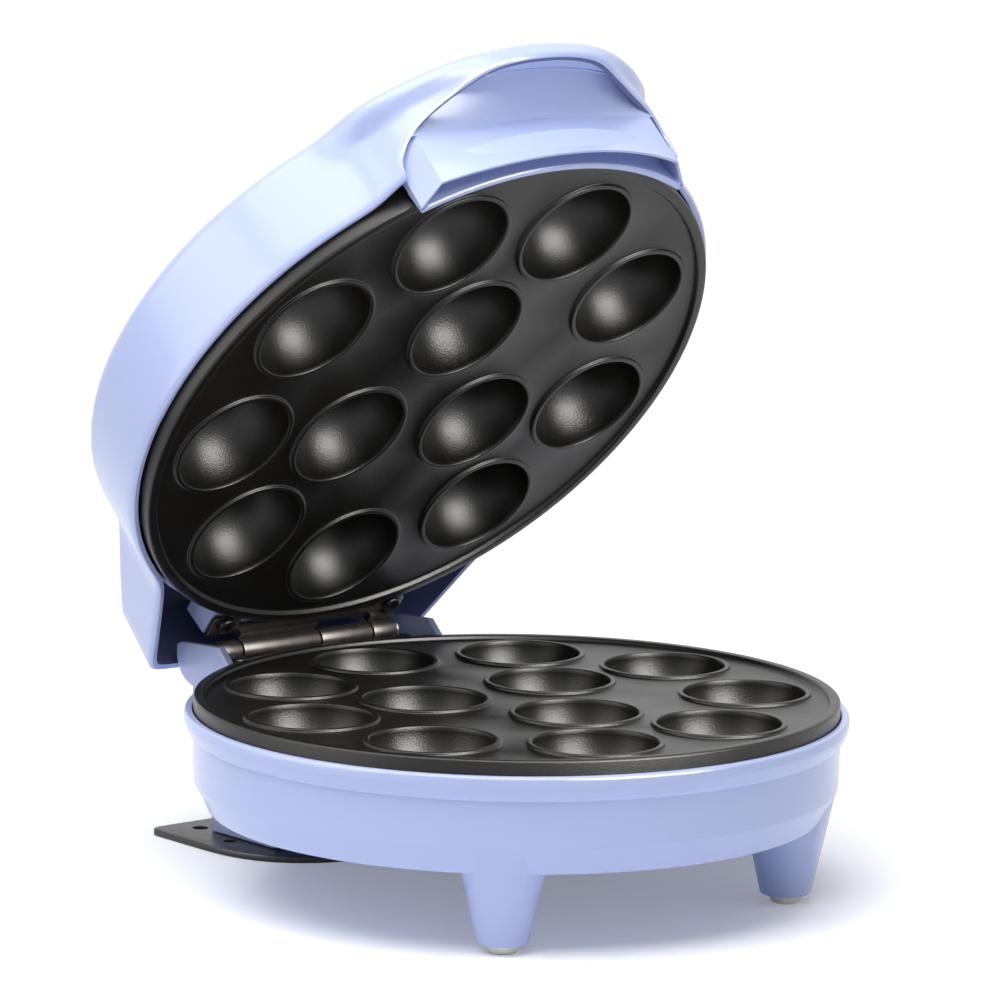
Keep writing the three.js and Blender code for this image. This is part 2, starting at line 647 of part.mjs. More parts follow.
function hingeLeaf(spans, axisZ, bottom, below) {
  const strip = raised(leafOutline(), bottom, leaf.thickness);
  const webLow = below ? bottom : axisZ + hinge.bore + clearance;
  const webHigh = below ? axisZ - hinge.bore - clearance : bottom + leaf.thickness;
  const rolls = spans.flatMap(([x0, x1]) => [
    barrel(hinge.barrel, x0, x1, hinge.y, axisZ),
    box([x0, rear.leafWeb, webLow], [x1, hinge.y, webHigh]),
  ]);
  const bores = spans.map(([x0, x1]) => barrel(hinge.bore, x0 - clearance, x1 + clearance, hinge.y, axisZ));
  const screwBore = hingeScrew.radius + clearance;
  const screwHole = post(screwBore, bottom - overrun, bottom + overrun, 0, 0, fineSegments);
  const screwHoles = pair(screwHole, hingeScrew.x, rear.hingeScrew);
  return joined([strip, ...rolls]).subtract(joined([...bores, ...screwHoles]));
}

function hingePin() {
  const start = knuckleJoints[0] - clearance;
  const end = knuckleJoints[knuckleJoints.length - 1] + clearance;
  const shank = barrel(hinge.pinRadius, start, end, hinge.y, -hinge.drop);
  const head = barrel(hinge.pinHead, start - hinge.pinHeadLength, start, hinge.y, -hinge.drop);
  const peen = barrel(hinge.pinHead, end, end + hinge.pinHeadLength, hinge.y, -hinge.drop);
  return joined([shank, head, peen]);
}

// Lid shell: a turned dome whose vertices are moved out to a plan with a nose in front and a cowl behind.
function capHeight(radius) {
  return lid.height - dome.edgeDrop * (radius / dome.edgeRadius) ** dome.fullness;
}

function softMax(a, b, blend) {
  return (a + b + Math.hypot(a - b, blend)) / 2;
}

function softMin(a, b, blend) {
  return (a + b - Math.hypot(a - b, blend)) / 2;
}

function noseReach(x, y, shares) {
  const turn = Math.abs(Math.atan2(x, -y)) / THREE.MathUtils.degToRad(nose.stepAngle);
  const step = Math.min(Math.floor(turn), shares.length - 2);
  const along = Math.min(turn - step, 1);
  return nose.reach * THREE.MathUtils.lerp(shares[step], shares[step + 1], along);
}

// How far out the shell's wall stands at a compass angle; the front is at -Y.
function planRadius(x, y, shares) {
  const away = Math.hypot(x, y);
  if (away === 0) return lid.outerRadius;
  if (y < 0) return lid.outerRadius + noseReach(x, y, shares);
  const sin = Math.abs(x) / away;
  const cos = y / away;
  const slope = (cowl.sideX - cowl.cornerX) / (rear.cowlBack - rear.cowlSide);
  const side = (cowl.cornerX + slope * rear.cowlBack) / (sin + slope * cos);
  const back = rear.cowlBack / Math.max(cos, lid.wall / rear.cowlBack);
  return softMax(lid.outerRadius, softMin(side, back, cowl.blend), cowl.blend);
}

// The nose's lower plan holds up to this height of the upright wall, and its upper plan from the shoulder on.
function lowRise() {
  return THREE.MathUtils.lerp(lid.rimRise, lid.shoulderRise, nose.waistShare) + clearance;
}

function toPlan(geometry) {
  const position = geometry.attributes.position;
  for (let index = 0; index < position.count; index += 1) {
    const [x, y, z] = [position.getX(index), position.getY(index), position.getZ(index)];
    const radius = Math.hypot(x, y);
    const shares = z > lowRise() ? nose.highShares : nose.lowShares;
    const stretch = planRadius(x, y, shares) / lid.outerRadius;
    const rise = (capHeight(radius * stretch) - lid.rimRise) / (capHeight(radius) - lid.rimRise);
    const height = z > lid.rimRise ? lid.rimRise + (z - lid.rimRise) * rise : z;
    position.setXYZ(index, x * stretch, y * stretch, height);
  }
  return geometry;
}

function domeProfile(inset, bottom) {
  const { outerRadius, rimEase, shoulderRadius, shoulderRise, fillet } = lid;
  const hidden = inset > 0;
  const roundShares = hidden ? [0, 1] : [0, 0.33, 0.67, 1];
  const capShares = hidden ? [0.7, 0.4, 0] : [0.84, 0.62, 0.36, 0];
  const centre = shoulderRadius - fillet;
  const corner = fillet - inset;
  const easedFoot = [
    [outerRadius - 1.5 * rimEase, bottom], [outerRadius - rimEase / 3, bottom + rimEase],
    [outerRadius, bottom + 2 * rimEase],
  ];
  const foot = hidden ? [[outerRadius - inset, bottom]] : easedFoot;
  const waistRadius = THREE.MathUtils.lerp(outerRadius, shoulderRadius, nose.waistShare) - inset;
  const waist = [waistRadius, lowRise() - clearance];
  return [
    [0, bottom], ...foot, waist,
    ...roundShares.map((share) => share * (Math.PI / 2))
      .map((angle) => [centre + corner * Math.cos(angle), shoulderRise + corner * Math.sin(angle)]),
    ...capShares.map((share) => [centre * share, capHeight(centre * share) - inset]),
  ];
}

function shellSolid(inset, bottom) {
  return solidOf(toPlan(turnedGeometry(domeProfile(inset, bottom), lidSegments)));
}

function archCut() {
  const { halfWidth, crown, squareness } = arch;
  const shape = new THREE.Shape();
  const bent = (value) => Math.sign(value) * Math.abs(value) ** (2 / squareness);
  shape.moveTo(halfWidth, -overrun);
  for (let step = 0; step <= bowSteps; step += 1) {
    const angle = (Math.PI * step) / bowSteps;
    shape.lineTo(halfWidth * bent(Math.cos(angle)), crown * bent(Math.sin(angle)));
  }
  shape.lineTo(-halfWidth, -overrun);
  const depth = nose.reach + lid.outerRadius;
  const geometry = new THREE.ExtrudeGeometry(shape, { depth, bevelEnabled: false });
  return solidOf(geometry.rotateX(Math.PI / 2)).translate([0, -arch.sill, 0]);
}

function lidShell() {
  const { rimRise, wall, ringWall, ringRise } = lid;
  const outer = shellSolid(0, rimRise);
  const inner = shellSolid(wall, -overrun);
  const cover = outer.subtract(inner).subtract(archCut());
  const wallRing = ring(plateMouth, plateMouth + ringWall, rimRise, ringRise);
  const plateSpace = post(plateMouth, -overrun, ringRise + overrun, 0, 0, roundSegments);
  const deckSide = hingeDeck.halfWidth;
  const deck = box([-deckSide, rear.deckFront, rimRise], [deckSide, rear.deckBack, hingeDeck.top]);
  const screwTop = rimRise + hingeScrew.length;
  const screwHole = post(hingeScrew.radius + clearance, rimRise - overrun, screwTop, 0, 0, fineSegments);
  const lampHole = post(lamp.radius + clearance, rimRise, lid.height + overrun);
  return joined([cover, wallRing, deck.subtract(plateSpace)]).subtract(joined([
    ...pair(screwHole, hingeScrew.x, rear.hingeScrew), ...pair(lampHole, lamp.x, rear.lamps),
  ]));
}

// Front handle: a flared grip band with a skirt round the plate and a scooped roof for the fingers.
function gripFront(cornerX, yAt, zAt) {
  return Array.from({ length: handle.steps + 1 }, (_, step) => {
    const share = 1 - (2 * step) / handle.steps;
    return [cornerX * share, -yAt(share), zAt(share)];
  });
}

function gripOutline(front, cornerX, standoff, level) {
  const endY = Math.sqrt((lid.outerRadius + standoff) ** 2 - handle.endX ** 2);
  const backY = Math.sqrt((lid.outerRadius - lid.ringWall) ** 2 - handle.cornerX ** 2);
  return [
    [handle.endX, -endY, level], ...front, [-handle.endX, -endY, level],
    [-cornerX, -backY, level], [cornerX, -backY, level],
  ];
}

function lowerGripOutline() {
  const { drop, endLift, flare, cornerX, endStandoff } = handle;
  const arcY = (share) => Math.sqrt((lid.outerRadius + flare) ** 2 - (cornerX * share) ** 2);
  const front = gripFront(cornerX, arcY, (share) => -drop + endLift * share ** 2);
  return gripOutline(front, cornerX, endStandoff, -drop);
}

function upperGripOutline() {
  const { topRise, topEndDrop, topY, topSag, topDraw, topEndStandoff } = handle;
  const cornerX = handle.cornerX - topDraw;
  const front = gripFront(cornerX, (share) => topY - topSag * share ** 2, () => topRise);
  return gripOutline(front, cornerX, topEndStandoff, topRise - topEndDrop);
}

// A block between two outlines of as many points; its sides are ruled from one to the other.
function gripBlock() {
  const low = lowerGripOutline();
  const high = upperGripOutline();
  const flat = outline([...low].reverse());
  const geometry = new THREE.ExtrudeGeometry(flat, { depth: handle.topRise, bevelEnabled: false });
  const position = geometry.attributes.position;
  for (let index = 0; index < position.count; index += 1) {
    const distances = low.map(([x, y]) => Math.hypot(position.getX(index) - x, position.getY(index) - y));
    const match = distances.indexOf(Math.min(...distances));
    position.setXYZ(index, ...(position.getZ(index) > 0 ? high[match] : low[match]));
  }
  return solidOf(geometry);
}

function scoopPanel() {
  const { backRise, roofOut, roofRise, frontInset, frontRise, thickness, curveSteps } = scoop;
  const backY = handle.topY - handle.topSag;
  const roofY = lid.outerRadius + roofOut;
  const frontY = lid.outerRadius + nose.reach - frontInset;
  const under = new THREE.CatmullRomCurve3([
    new THREE.Vector3(0, -backY, handle.topRise - thickness),
    new THREE.Vector3(0, -backY - thickness / 4, backRise),
    new THREE.Vector3(0, -roofY, roofRise), new THREE.Vector3(0, -frontY, frontRise),
  ]).getPoints(curveSteps);
  const over = under.map((point, index) => {
    const next = under[Math.min(index + 1, curveSteps)];
    const last = under[Math.max(index - 1, 0)];
    const along = next.clone().sub(last).normalize();
    return new THREE.Vector3(0, point.y + along.z * thickness, point.z - along.y * thickness);
  });
  const shape = outline([...under, ...over.reverse()].map((point) => [point.y, point.z]));
  return acrossX(shape, -handle.endX, handle.endX);
}

function frontHandle() {
  const skirtInner = plateMouth + lid.ringWall + clearance;
  const skirtOuter = skirtInner + handle.skirtWall;
  const slotHalf = handle.cornerX - handle.slotInset;
  const behind = post(skirtInner, -handle.drop - overrun, lid.height, 0, 0, roundSegments);
  const slot = turned([
    [skirtOuter, -handle.drop - overrun], [skirtOuter + handle.slotWidth, -handle.drop - overrun],
    [skirtOuter + handle.slotWidth, -handle.drop], [skirtOuter + clearance, -handle.drop + handle.slotDepth],
    [skirtOuter, -handle.drop + handle.slotDepth], [skirtOuter, -handle.drop - overrun],
  ]).intersect(box(
    [-slotHalf, -lid.outerRadius - nose.reach, -handle.drop - overrun], [slotHalf, 0, lid.height],
  ));
  const noseSpace = shellSolid(lid.wall + clearance, -handle.drop - overrun);
  const roof = scoopPanel().intersect(noseSpace);
  return joined([gripBlock(), roof]).subtract(behind).subtract(slot);
}

// Lamp lenses in the top of the dome, each with its lamp below.
const lampCrown = capHeight(Math.hypot(lamp.x, rear.lamps));

function lensSolid() {
  const { radius, flange, flangeHeight, lensHeight } = lamp;
  const bottom = lampCrown + clearance - lid.wall - lensHeight;
  const seat = lampCrown + 2 * clearance;
  const top = lampCrown + clearance + 2 * flangeHeight;
  return turned([
    [0, bottom], [radius, bottom], [radius, seat], [flange, seat],
    [flange - flangeHeight / 2, top - flangeHeight], [0, top],
  ], smallSegments);
}

function bulbSolid() {
  const top = lampCrown - lid.wall - lamp.lensHeight;
  return post(lamp.bulbRadius, top - lamp.bulbLength, top);
}

// Assembly
const sideLabels = [['left', -1], ['right', 1]];
const model = new THREE.Group();
const base = new THREE.Group();
base.position.z = plateLevel;
model.add(base);

const plateSolid = castPlate();
const heaterSolid = heater();
const shieldSolid = heatShield();
const thermostatSolid = discThermostat();

base.add(piece('base_housing', baseHousing(), 'shell'));
base.add(piece('lower_plate', plateSolid, 'plate'));
base.add(piece('lower_heating_element', heaterSolid, 'steel'));
base.add(piece('lower_heat_shield', shieldSolid, 'steel'));
base.add(piece('lower_thermostat', thermostatSolid, 'steel'));
base.add(piece('rear_foot_plate', rearFootPlate(), 'black'));
base.add(piece('cord_gland', cordGland(), 'black'));
base.add(piece('terminal_block', terminalBlock(), 'ceramic'));
base.add(piece('thermal_fuse', thermalFuse(), 'steel'));
base.add(piece('thermal_fuse_clip', fuseClip(), 'steel'));

const screwLength = -screwSeat() - shield.drop + baseScrew.reach;
bossSpots.forEach(([x, y], index) => {
  const screw = piece(`base_screw_${index + 1}`, panScrew({ ...baseScrew, length: screwLength }), 'steel');
  screw.position.set(x, y, screwSeat() - clearance);
  base.add(screw);
});

const lowerLeafLevel = -housing.rimDrop + clearance;
for (const [label, side] of sideLabels) {
  const rubber = piece(`front_${label}_pad`, rubberPad(), 'rubber');
  rubber.position.set(side * leg.x, leg.y, 0);
  base.add(rubber);

  const footFixing = piece(`foot_plate_screw_${label}`, panScrew(footScrew), 'steel');
  footFixing.position.set(side * footScrew.x, rear.footScrew, footScrewSeat() - clearance);
  base.add(footFixing);

  const fixing = piece(`lower_hinge_screw_${label}`, panScrew(hingeScrew), 'darkSteel');
  fixing.rotation.x = Math.PI;
  fixing.position.set(side * hingeScrew.x, rear.hingeScrew, lowerLeafLevel + leaf.thickness + clearance);
  base.add(fixing);
}

const lowerLeaf = hingeLeaf(knuckleSpans(0), -hinge.drop, lowerLeafLevel, true);
base.add(piece('lower_hinge_leaf', lowerLeaf, 'darkSteel'));
base.add(piece('hinge_pin', hingePin(), 'steel'));

// The lid turns about the hinge line; its pieces keep their shut places inside the turned group.
const pivot = new THREE.Group();
pivot.position.set(0, hinge.y, -hinge.drop);
pivot.rotation.x = -openAngle;
base.add(pivot);
const cover = new THREE.Group();
cover.position.set(0, -hinge.y, shutGap + hinge.drop);
pivot.add(cover);

cover.add(piece('lid_shell', lidShell(), 'shell'));
cover.add(piece('front_handle', frontHandle(), 'shell'));

const upturned = new THREE.Group();
upturned.rotation.y = Math.PI;
cover.add(upturned);
upturned.add(piece('upper_plate', plateSolid, 'plate'));
upturned.add(piece('upper_heating_element', heaterSolid, 'steel'));
upturned.add(piece('upper_heat_shield', shieldSolid, 'steel'));
upturned.add(piece('upper_thermostat', thermostatSolid, 'steel'));
bossSpots.forEach(([x, y], index) => {
  const solid = panScrew({ ...baseScrew, length: baseScrew.reach });
  const screw = piece(`upper_plate_screw_${index + 1}`, solid, 'steel');
  screw.position.set(x, y, -shield.drop - shield.thickness - clearance);
  upturned.add(screw);
});

const leafLevel = lid.rimRise - clearance - leaf.thickness;
const axisInLid = -hinge.drop - shutGap;
cover.add(piece('upper_hinge_leaf', hingeLeaf(knuckleSpans(1), axisInLid, leafLevel, false), 'darkSteel'));
for (const [label, side] of sideLabels) {
  const fixing = piece(`upper_hinge_screw_${label}`, panScrew(hingeScrew), 'darkSteel');
  fixing.position.set(side * hingeScrew.x, rear.hingeScrew, leafLevel - clearance);
  cover.add(fixing);
}
for (const [label, side, finish] of [['power', -1, 'redLens'], ['ready', 1, 'greenLens']]) {
  const lens = piece(`${label}_lamp_lens`, lensSolid(), finish);
  lens.position.set(side * lamp.x, rear.lamps, 0);
  const bulb = piece(`${label}_lamp`, bulbSolid(), 'ceramic');
  bulb.position.set(side * lamp.x, rear.lamps, 0);
  cover.add(lens, bulb);
}

// The origin is on the floor under the middle of the object as it stands open.
model.updateMatrixWorld(true);
const extent = new THREE.Box3().setFromObject(model, true);
model.position.set(0, -(extent.min.y + extent.max.y) / 2, 0);
model.updateMatrixWorld(true);

export default model;
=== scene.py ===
"""A round maker of twelve cake pops, standing with its lid open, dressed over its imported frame."""
import json
import math

import bmesh
import bpy
import numpy as np
from mathutils import Matrix, Vector


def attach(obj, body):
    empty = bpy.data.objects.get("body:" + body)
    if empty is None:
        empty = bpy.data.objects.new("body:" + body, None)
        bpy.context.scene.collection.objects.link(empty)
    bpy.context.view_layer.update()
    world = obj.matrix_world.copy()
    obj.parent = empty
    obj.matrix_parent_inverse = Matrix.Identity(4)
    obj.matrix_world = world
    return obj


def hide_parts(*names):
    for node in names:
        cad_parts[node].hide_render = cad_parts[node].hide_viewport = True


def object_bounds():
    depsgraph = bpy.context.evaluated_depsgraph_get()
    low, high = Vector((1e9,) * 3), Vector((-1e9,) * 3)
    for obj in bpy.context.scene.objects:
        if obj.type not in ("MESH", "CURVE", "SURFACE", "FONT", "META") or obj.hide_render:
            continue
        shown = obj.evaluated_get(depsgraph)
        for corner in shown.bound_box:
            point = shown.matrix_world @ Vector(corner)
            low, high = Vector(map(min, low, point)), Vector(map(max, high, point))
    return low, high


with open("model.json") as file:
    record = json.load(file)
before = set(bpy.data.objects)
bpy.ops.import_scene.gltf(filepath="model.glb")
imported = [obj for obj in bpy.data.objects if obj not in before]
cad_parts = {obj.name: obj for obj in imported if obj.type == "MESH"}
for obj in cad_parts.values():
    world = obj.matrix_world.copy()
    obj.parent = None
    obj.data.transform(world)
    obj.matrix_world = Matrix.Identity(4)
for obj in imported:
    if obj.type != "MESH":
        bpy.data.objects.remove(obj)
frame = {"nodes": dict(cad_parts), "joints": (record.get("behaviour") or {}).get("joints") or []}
cad_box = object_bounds()

# Lengths are in millimetres in two frames of their own: the base's, whose origin is the middle of the
# lower plate's rim, and the lid's, drawn shut, whose origin is the middle of the upper plate's rim.
MM = 0.001
HINGE_Y = 107.5
HINGE_DROP = 0.4
SHUT_GAP = 1.0
PLATE_LEVEL = 60.9

hinge_joint = frame["joints"][0]
hinge_place = Vector(hinge_joint["pos_m"])
open_angle = math.radians(hinge_joint["range_deg"][1])
base_frame = (
    Matrix.Translation(hinge_place)
    @ Matrix.Scale(MM, 4)
    @ Matrix.Translation((0, -HINGE_Y, HINGE_DROP))
)
lid_frame = (
    Matrix.Translation(hinge_place)
    @ Matrix.Rotation(-open_angle, 4, "X")
    @ Matrix.Scale(MM, 4)
    @ Matrix.Translation((0, -HINGE_Y, HINGE_DROP + SHUT_GAP))
)
FRAMES = {"base": base_frame, "lid": lid_frame}


# Meshes

EASE_LIMIT = 0.49
ON_AXIS = 1e-6
CREASE = 32.0
SMALL_SEGMENTS = 48
SIDES = (("left", -1), ("right", 1))


def rounded(corners, steps=4):
    """A closed outline of (across, up, corner radius) with each corner turned into an arc.

    An arc takes up no more than the limit's share of the sides beside it.
    """
    points = []
    count = len(corners)
    for index, (x, y, radius) in enumerate(corners):
        here = Vector((x, y))
        if radius <= 0:
            points.append(here)
            continue
        back = Vector(corners[index - 1][:2]) - here
        ahead = Vector(corners[(index + 1) % count][:2]) - here
        half = back.angle(ahead) / 2
        reach = min(radius / math.tan(half), back.length * EASE_LIMIT, ahead.length * EASE_LIMIT)
        start = here + back.normalized() * reach
        end = here + ahead.normalized() * reach
        for step in range(steps + 1):
            share = step / steps
            points.append(start.lerp(here, share).lerp(here.lerp(end, share), share))
    return points


def bridged(bm, rings, closed, skipped=()):
    """Faces from each ring of points to the next, and from the last to the first where it is closed."""
    count = len(rings[0])
    for here, ahead in zip(rings, rings[1:] + rings[:1] if closed else rings[1:]):
        for index in range(count):
            if index not in skipped:
                after = (index + 1) % count
                bm.faces.new((here[index], ahead[index], ahead[after], here[after]))
    return bm


def ring_spots(count, radius, first_angle=0):
    """Spots (x, y) evenly about a circle, the first at an angle in degrees."""
    turns = [math.radians(first_angle) + 2 * math.pi * index / count for index in range(count)]
    return [(radius * math.cos(turn), radius * math.sin(turn)) for turn in turns]


def revolved(outline, segments=96):
    """A closed outline of (radius, height) turned about the vertical axis, as a bmesh."""
    bm = bmesh.new()
    rings = [
        [bm.verts.new((r * across, r * back, z)) for r, z in outline]
        for across, back in ring_spots(segments, 1)
    ]
    pairs = zip(outline, outline[1:] + outline[:1])
    axis = [index for index, (here, after) in enumerate(pairs) if max(here[0], after[0]) < ON_AXIS]
    return cleaned(bridged(bm, rings, True, axis))


def cleaned(bm, gap=1e-4):
    """Joins doubled points, drops faces without area and turns the rest outwards."""
    bmesh.ops.remove_doubles(bm, verts=bm.verts, dist=gap)
    bmesh.ops.dissolve_degenerate(bm, edges=bm.edges, dist=gap)
    bmesh.ops.recalc_face_normals(bm, faces=bm.faces)
    return bm


def extruded(outline, low, high, bevel=0.0, bevel_steps=2):
    """A flat outline of (x, y) raised from low to high, with its long edges bevelled."""
    bm = bmesh.new()
    bottom = [bm.verts.new((x, y, low)) for x, y in outline]
    top = [bm.verts.new((x, y, high)) for x, y in outline]
    bm.faces.new(bottom[::-1])
    bm.faces.new(top)
    for index in range(len(outline)):
        after = (index + 1) % len(outline)
        bm.faces.new((bottom[index], bottom[after], top[after], top[index]))
    cleaned(bm)
    if bevel > 0:
        rims = [edge for edge in bm.edges if len({round(v.co.z, 4) for v in edge.verts}) == 1]
        bmesh.ops.bevel(bm, geom=rims, offset=bevel, segments=bevel_steps, profile=0.5, affect="EDGES")
    return bm


def transformed(bm, matrix):
    bmesh.ops.transform(bm, matrix=matrix, verts=bm.verts)
    return bm


def turned_up(bm):
    """Takes an outline drawn as (y, z) and raised along z, and lays it across x."""
    return transformed(bm, Matrix(((0, 0, 1, 0), (1, 0, 0, 0), (0, 1, 0, 0), (0, 0, 0, 1))))


def moved(bm, x=0.0, y=0.0, z=0.0):
    bmesh.ops.translate(bm, vec=(x, y, z), verts=bm.verts)
    return bm


def lofted(sections):
    """A closed tube through sections of as many points, each a list of 3-D points."""
    bm = bmesh.new()
    rings = [[bm.verts.new(point) for point in section] for section in sections]
    bridged(bm, rings, False)
    bm.faces.new(rings[0])
    bm.faces.new(rings[-1][::-1])
    return cleaned(bm)


def linked(name, data):
    obj = bpy.data.objects.new(name, data)
    bpy.context.scene.collection.objects.link(obj)
    return obj


def as_object(bm, name="work"):
    mesh = bpy.data.meshes.new(name)
    bm.to_mesh(mesh)
    bm.free()
    return linked(name, mesh)


def combined(first, others, operation):
    """Joins bmeshes to the first or cuts them from it, one after another, and gives back a bmesh."""
    work = as_object(first)
    for other in others:
        tool = as_object(other)
        modifier = work.modifiers.new("shape", "BOOLEAN")
        modifier.operation = operation
        modifier.solver = "MANIFOLD"
        modifier.object = tool
        graph = bpy.context.evaluated_depsgraph_get()
        mesh = bpy.data.meshes.new_from_object(work.evaluated_get(graph))
        work.modifiers.clear()
        work.data = mesh
        bpy.data.objects.remove(tool)
    bm = bmesh.new()
    bm.from_mesh(work.data)
    bpy.data.objects.remove(work)
    return bm


def gathered(parts):
    """Several bmeshes in one, each still a closed body of its own."""
    whole = bmesh.new()
    for part in parts:
        mesh = bpy.data.meshes.new("part")
        part.to_mesh(mesh)
        part.free()
        whole.from_mesh(mesh)
        bpy.data.meshes.remove(mesh)
    return whole


def piece(name, bm, material, body, node, crease=CREASE, turn=Matrix()):
    """Makes the bmesh a shown piece that rides on a body and stands for a CAD node."""
    transformed(bm, FRAMES[body] @ turn)
    bmesh.ops.recalc_face_normals(bm, faces=bm.faces)
    obj = as_object(bm, name)
    obj.data.shade_smooth()
    obj.data.set_sharp_from_angle(angle=math.radians(crease))
    obj.data.materials.append(material)
    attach(obj, body)
    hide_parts(node)
    return obj


def drill(radius, low, high, x=0.0, y=0.0, segments=32):
    """A round cutter from low to high at a spot."""
    return moved(revolved([(0, low), (radius, low), (radius, high), (0, high)], segments), x, y)


def between_points(before, here, after, later, along):
    """A smooth curve's value from here to after, for numbers as well as vectors."""
    square, cube = along ** 2, along ** 3
    return (
        (2 * cube - 3 * square + 1) * here
        + (cube - 2 * square + along) * ((after - before) / 2)
        + (3 * square - 2 * cube) * after
        + (cube - square) * ((later - here) / 2)
    )


# Materials

NOISE_LOW = 0.15
NOISE_HIGH = 0.85


def srgb(red, green, blue):
    """A colour as it is read on screen, 0 to 255, in the shader's own scale."""
    def linear(value):
        value = value / 255
        return value / 12.92 if value <= 0.04045 else ((value + 0.055) / 1.055) ** 2.4
    return (linear(red), linear(green), linear(blue), 1.0)


def set_inputs(node, values):
    for name, value in values.items():
        node.inputs[name.replace("_", " ")].default_value = value


def new_node(tree, kind, **values):
    node = tree.nodes.new("ShaderNode" + kind)
    set_inputs(node, values)
    return node


class Nodes:
    """Short names for the nodes that the materials share."""

    def __init__(self, name):
        self.material = bpy.data.materials.new(name)
        self.material.use_nodes = True
        self.tree = self.material.node_tree
        self.shader = self.tree.nodes["Principled BSDF"]
        self.object_place = new_node(self.tree, "TexCoord").outputs["Object"]

    def link(self, source, target):
        self.tree.links.new(source, target)

    def noise(self, scale, detail=4.0, roughness=0.55):
        node = new_node(self.tree, "TexNoise", Scale=scale, Detail=detail, Roughness=roughness)
        self.link(self.object_place, node.inputs["Vector"])
        return node.outputs["Fac"]

    def spread(self, source, low, high):
        limits = {"From_Min": NOISE_LOW, "From_Max": NOISE_HIGH, "To_Min": low, "To_Max": high}
        node = new_node(self.tree, "MapRange", **limits)
        self.link(source, node.inputs["Value"])
        return node.outputs["Result"]

    def colours(self, source, dark, light):
        share = self.spread(source, 0.0, 1.0)
        node = new_node(self.tree, "Mix")
        node.data_type = "RGBA"
        set_inputs(node, {"A": dark, "B": light})
        self.link(share, node.inputs["Factor"])
        self.link(node.outputs["Result"], self.shader.inputs["Base Color"])

    def roughness(self, source, low, high):
        self.link(self.spread(source, low, high), self.shader.inputs["Roughness"])

    def bump(self, source, depth, strength):
        node = new_node(self.tree, "Bump", Strength=strength, Distance=depth)
        self.link(source, node.inputs["Height"])
        self.link(node.outputs["Normal"], self.shader.inputs["Normal"])


def finish(name, slot, tones, gloss, relief=None, **settings):
    """A material of two tones, a range of roughness and, where relief is given, a fine bump.

    Each starts with its grain: a noise's scale per metre, detail and roughness, the last ones optional.
    """
    made = Nodes(name)
    grain, dark, light = tones
    made.colours(made.noise(*grain), srgb(*dark), srgb(*light))
    grain, low, high = gloss
    made.roughness(made.noise(*grain), low, high)
    if relief:
        grain, depth, strength = relief
        made.bump(made.noise(*grain), depth, strength)
    set_inputs(made.shader, settings)
    return made.material


SHELL = finish(
    "lavender_plastic", "shell",
    ((30.0,), (178, 191, 233), (180, 193, 235)),
    ((90.0, 3.0), 0.2, 0.24),
    ((1400.0, 2.0), 0.00002, 0.15),
    IOR=1.5, Coat_Weight=0.2, Coat_Roughness=0.15, Specular_IOR_Level=0.32,
)
# A duller copy of the shell plastic, much darker in colour: the darkness is painted shade for the inside
# of the lid.
INNER_PAINTED_SHADE = finish(
    "inner_painted_shade_plastic", None,
    ((60.0,), (96, 104, 140), (102, 110, 147)),
    ((120.0, 3.0), 0.6, 0.7),
    ((1600.0, 2.0), 0.00005, 0.4),
    Specular_IOR_Level=0.15,
)
COATING = finish(
    "nonstick_coating", "plate_coating",
    ((2600.0, 2.0, 0.7), (5, 5, 5), (27, 24, 21)),
    ((900.0, 3.0), 0.29, 0.34),
    ((2200.0, 2.0, 0.6), 0.0003, 0.3),
    IOR=1.39,
)
HINGE_STEEL = finish(
    "hinge_steel", "dark_steel",
    ((160.0,), (70, 66, 65), (92, 88, 86)),
    ((420.0,), 0.3, 0.48),
    ((1500.0, 2.0), 0.00004, 0.3),
    Metallic=0.9,
)
FASTENER = finish(
    "black_fastener", "dark_steel",
    ((300.0,), (30, 29, 30), (48, 46, 46)),
    ((700.0,), 0.3, 0.4),
    Metallic=0.6,
)
STEEL = finish(
    "bright_steel", "steel",
    ((220.0,), (168, 168, 166), (190, 190, 188)),
    ((500.0,), 0.29, 0.4),
    Metallic=1.0,
)
BLACK = finish(
    "black_plastic", "black_plastic",
    ((90.0,), (20, 20, 22), (27, 27, 29)),
    ((350.0,), 0.3, 0.4),
    ((1800.0, 2.0), 0.00005, 0.35),
    IOR=1.5,
)
RUBBER = finish(
    "pad_rubber", "pad_rubber",
    ((180.0,), (243, 240, 222), (251, 248, 236)),
    ((300.0,), 0.6, 0.75),
    ((1200.0, 2.0), 0.00006, 0.4),
)
CERAMIC = finish(
    "ceramic", "ceramic",
    ((200.0,), (222, 218, 206), (234, 231, 222)),
    ((400.0,), 0.5, 0.65),
)
LENS_GLOSS = ((300.0,), 0.1, 0.18)
LENS_COAT = {"IOR": 1.5, "Coat_Weight": 0.5, "Coat_Roughness": 0.05}
RED = ((150.0,), (150, 24, 20), (186, 36, 30))
GREEN = ((150.0,), (30, 120, 52), (48, 158, 76))
RED_LENS = finish("red_lens", "red_lens", RED, LENS_GLOSS, **LENS_COAT)
GREEN_LENS = finish("green_lens", "green_lens", GREEN, LENS_GLOSS, **LENS_COAT)

# Cast plates

